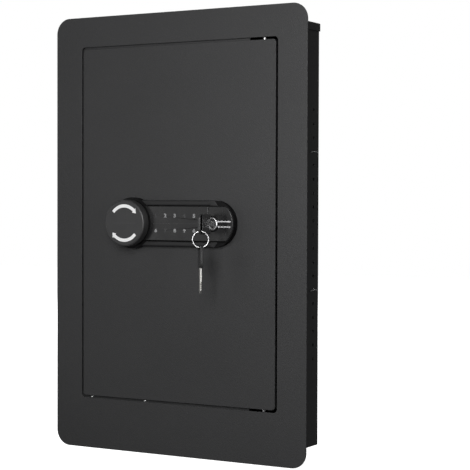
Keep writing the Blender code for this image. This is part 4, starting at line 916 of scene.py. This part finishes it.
marks = bmesh.new()
bar_left, bar_right = 0.068, 0.087
bar_low, bar_high = lock_z + 0.0022, lock_z + 0.0038
oblong(marks, bar_left, bar_right, bar_low, bar_high, 0.0003)
mark_count, mark_pitch, mark_width = 9, 0.00195, 0.0012
mark_low, mark_high = lock_z - 0.0046, lock_z - 0.0026
for index in range(mark_count):
    mark_left = bar_left + 0.0015 + mark_pitch * index
    oblong(marks, mark_left, mark_left + mark_width, mark_low, mark_high, 0.0002)
filled_print("cap_marks", marks, cap_low.y, light_print, "door")

# ---------------------------------------------------------------- Knob, spindle and cam
# A thick moulded disc with a rounded rim. Two curved arrows are printed white on its face, with a
# fine line across the middle. Its steel spindle passes through the door and carries the cam.

rim_depth, rim_width, rim_steps = 0.0018, 0.0028, 10
foot_chamfer = 0.0006
profile = [
    (0, knob_high.y), (knob_radius - foot_chamfer, knob_high.y),
    (knob_radius, knob_high.y - foot_chamfer),
]
for step in range(rim_steps + 1):
    angle = math.pi / 2 * step / rim_steps
    inward, forward = rim_width * (1 - math.cos(angle)), rim_depth * (1 - math.sin(angle))
    profile.append((knob_radius - inward, knob_low.y + forward))
profile.append((0, knob_low.y))
piece("knob_moulding", spun(profile, "Y", (knob_x, 0, lock_z), 96), plastic, "knob", "knob")


def on_knob(radius, angle):
    """A place of the print on the knob's face."""
    across, up = radius * math.cos(angle), radius * math.sin(angle)
    return knob_x + across, knob_low.y - ink_lift, lock_z + up


arrows = bmesh.new()
stroke_out, stroke_in = 0.02375, 0.0196
stroke_mid = (stroke_out + stroke_in) / 2
tail, neck, tip = math.radians(140), math.radians(48), math.radians(34.3)
head_half = 0.0039
for turn in (0, math.pi):
    ends = [arrows.verts.new(on_knob(radius, tail + turn)) for radius in (stroke_in, stroke_out)]
    bmesh.ops.spin(
        arrows, geom=[*ends, arrows.edges.new(ends)], cent=(knob_x, 0, lock_z), axis=(0, -1, 0),
        dvec=(0, 0, 0), angle=neck - tail, steps=28, use_merge=False, use_duplicate=False,
    )
    barb = [(stroke_mid - head_half, neck), (stroke_mid + head_half, neck), (stroke_mid, tip)]
    corners = [arrows.verts.new(on_knob(radius, angle + turn)) for radius, angle in barb]
    bmesh.ops.contextual_create(arrows, geom=corners)
printed("knob_arrows", arrows, white_print, "knob")
line_reach, line_half = 0.0175, 0.0002
line = oblong(
    bmesh.new(), knob_x - line_reach, knob_x + line_reach, lock_z - line_half,
    lock_z + line_half, 0.0001,
)
filled_print("knob_line", line, knob_low.y, faint_print, "knob")
steel.keep("knob_spindle")
piece("spindle_cam", broken_edges("knob_cam", 0.0003, 1), steel, "knob", "knob_cam")

# ---------------------------------------------------------------- Key cylinder, nut, plug and cam
# A chromed brass barrel stands proud of the end cap, with a rounded rim. A hexagon nut clamps it
# behind the door. The nickelled plug turns in it and carries the cam that lifts the lock slide.

chrome = Finish("chrome", "chrome", Metallic=1.0)
chrome.feed("Base Color", chrome.between(
    chrome.noise(80.0), (0.78, 0.78, 0.79), (0.86, 0.86, 0.87)
))
chrome.feed("Roughness", chrome.spread(chrome.noise(500.0, 3.0), 0.26, 0.36))
bore = 0.0053
front_width, front_dish = 0.0018, 0.0008
profile = eased([
    (bore, cylinder_high.y), (cylinder_radius, cylinder_high.y), (cylinder_radius, cylinder_low.y),
    (cylinder_radius - front_width, cylinder_low.y), (bore, cylinder_low.y + front_dish),
    (bore, cylinder_high.y),
], 0.0009, 6)
barrel = spun(profile, "Y", (key_x, 0, lock_z), 72)
piece("cylinder_barrel", barrel, chrome, "door", "lock_cylinder")
piece("hexagon_nut", broken_edges("cylinder_nut", 0.0003, 1), zinc, "door", "cylinder_nut")
nickel = Finish("dark_nickel", "chrome", Metallic=1.0)
nickel.feed("Base Color", nickel.between(
    nickel.noise(200.0), (0.20, 0.20, 0.205), (0.26, 0.26, 0.265)
))
nickel.feed("Roughness", nickel.spread(nickel.noise(700.0), 0.30, 0.42))
nickel.relief(nickel.noise(900.0), 0.00002)
nickel.keep("cylinder_plug")
steel.keep("key_cam")

# ---------------------------------------------------------------- The key in the lock
# The blade is nickel-plated, milled along both sides and cut along its lower edge. Its moulded head
# has rounded edges and a slot for the ring.

key_steel = Finish("key_steel", "key_steel", Metallic=1.0)
scratches = key_steel.noise(60.0, 4.0, (1, 1, 24))
key_steel.feed("Base Color", key_steel.between(scratches, (0.70, 0.69, 0.66), (0.84, 0.83, 0.80)))
key_steel.feed("Roughness", key_steel.spread(scratches, 0.38, 0.52))
key_steel.relief(scratches, 0.00002)

key_plastic = Finish("key_plastic", "key_plastic", Specular_IOR_Level=0.5)
key_grain = key_plastic.noise(2200.0)
key_plastic.feed("Base Color", key_plastic.between(
    key_plastic.noise(90.0), (0.030, 0.030, 0.0307), (0.034, 0.034, 0.0348)
))
key_plastic.feed("Roughness", key_plastic.spread(key_grain, 0.20, 0.31))
key_plastic.relief(key_grain, 0.00003)


def whole_key(name, body):
    """A key's blade and its moulded head."""
    blade, head = f"{body}_blade", f"{body}_head"
    piece(f"{name}_shaft", broken_edges(blade, 0.0002, 1), key_steel, body, blade)
    piece(f"{name}_bow", broken_edges(head, 0.0009, 3), key_plastic, body, head)


whole_key("key", "key")

# ---------------------------------------------------------------- Split ring
# Two turns of hard chromed steel wire that lie side by side. The turns are sprung apart to thread
# the keys on, and close again over them.

low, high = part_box("key_ring")
ring_centre = (low + high) / 2
ring_turn = math.radians(28)
ring_tangent = Vector((math.cos(ring_turn), math.sin(ring_turn), 0))
ring_axis = Vector((-math.sin(ring_turn), math.cos(ring_turn), 0))
ring_wire, ring_turns, ring_steps = 0.00072, 1.96, 128
ring_radius = (high.z - low.z) / 2 - 0.0008
ring_side = 0.00040
ring = bmesh.new()
start = ring_centre + Vector((0, 0, ring_radius)) - ring_axis * ring_side
bmesh.ops.create_circle(
    ring, cap_ends=True, radius=ring_wire, segments=12,
    matrix=Matrix.Translation(start) @ ring_tangent.to_track_quat("Z", "Y").to_matrix().to_4x4(),
)
bmesh.ops.spin(
    ring, geom=ring.verts[:] + ring.edges[:] + ring.faces[:], cent=ring_centre, axis=ring_axis,
    dvec=ring_axis * (2 * ring_side / ring_steps), angle=math.tau * ring_turns,
    steps=ring_steps, use_merge=False, use_duplicate=False,
)
bmesh.ops.recalc_face_normals(ring, faces=ring.faces)
piece("split_ring", ring, chrome, "ring", "key_ring")

# ---------------------------------------------------------------- Spare key
# The same key again, with a nickel-plated blade and a moulded head. It hangs loose from the ring by
# the slot in its head.

whole_key("spare", "spare_key")

# ---------------------------------------------------------------- Lock slide, solenoid and plunger
# A stamped steel slide that the key's cam lifts by its pin. The solenoid, a wound coil in a steel
# frame, lifts the same slide by its plunger when the right figures are touched.

piece("stamped_slide", broken_edges("lock_slide", 0.0003, 1), steel, "lock_slide", "lock_slide")
turned_pin("solenoid_plunger", "lock_slide", 0.0005)
coil = Finish("solenoid_case", "solenoid_case", Metallic=0.6)
windings = coil.node(
    "ShaderNodeTexWave", {"wave_type": "BANDS", "bands_direction": "Z"},
    {"Vector": coil.place(), "Scale": 260.0, "Distortion": 0.3},
)
coil.feed("Base Color", coil.between(windings, (0.07, 0.07, 0.08), (0.15, 0.15, 0.16)))
coil.feed("Roughness", coil.spread(coil.noise(400.0), 0.35, 0.55))
coil.relief(windings, 0.00008)
piece("solenoid_coil", broken_edges("solenoid_body", 0.0006, 3), coil, "door", "solenoid_body")

# ---------------------------------------------------------------- Battery box, batteries and lid
# A moulded tray in the cover's window holds four AA cells. The lid slides up off it and has three
# grip ribs across its middle.

piece("battery_tray", broken_edges("battery_box", 0.0004, 2), plastic, "door", "battery_box")
sleeve = Finish("battery_sleeve", "battery_sleeve", Roughness=0.38, Coat_Weight=0.4)
cell_low, cell_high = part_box("battery_1")
nub, nub_radius = 0.001, 0.0027
sleeve_fold, end_step = 0.0012, 0.0003
copper_share = 0.22
copper_from = (cell_high.z - cell_low.z) * (1 - copper_share)
copper_band = sleeve.height("Z", (0, 0, -cell_low.z)) > copper_from
sleeve.feed("Base Color", sleeve.between(
    copper_band, sleeve.between(sleeve.noise(200.0), (0.018, 0.030, 0.10), (0.024, 0.040, 0.13)),
    (0.50, 0.25, 0.10),
))
sleeve.relief(sleeve.noise(700.0), 0.00002)
for index in range(1, 5):
    low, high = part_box(f"battery_{index}")
    middle = (low + high) / 2
    radius = (high.x - low.x) / 2
    top = high.z - nub
    profile = eased([
        (0, low.z), (radius - sleeve_fold, low.z), (radius - 0.0010, low.z + end_step),
        (radius, low.z + end_step), (radius, top), (radius - sleeve_fold, top),
        (radius - 0.0014, top - end_step), (nub_radius + 0.0003, top - end_step),
        (nub_radius, high.z), (0, high.z),
    ], 0.0004, 3)
    piece(f"cell_{index}", spun(profile, "Z", middle, 40), sleeve, "door", f"battery_{index}")
piece("sliding_lid", broken_edges("battery_lid", 0.0003, 2), plastic, "battery_lid", "battery_lid")

# ---------------------------------------------------------------- Reset button
# A red moulded button with a slightly hollow top, which stands in a hole of the inner cover. It is
# pressed to change the figures of the code.

red = Finish("reset_red", "reset_red", Specular_IOR_Level=0.5)
red.feed("Base Color", red.between(red.noise(300.0), (0.46, 0.025, 0.022), (0.56, 0.035, 0.030)))
red.feed("Roughness", red.spread(red.noise(1800.0), 0.32, 0.46))
low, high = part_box("reset_button")
radius = (high.x - low.x) / 2
button_rim, button_dish = 0.0012, 0.0005
profile = eased([
    (0, low.y), (radius, low.y), (radius, high.y - 0.0002), (radius - button_rim, high.y),
    (radius * 0.45, high.y - button_dish * 0.6), (0, high.y - button_dish),
], 0.0006)
piece("reset_cap", spun(profile, "Y", (low + high) / 2, 40), red, "reset_button", "reset_button")
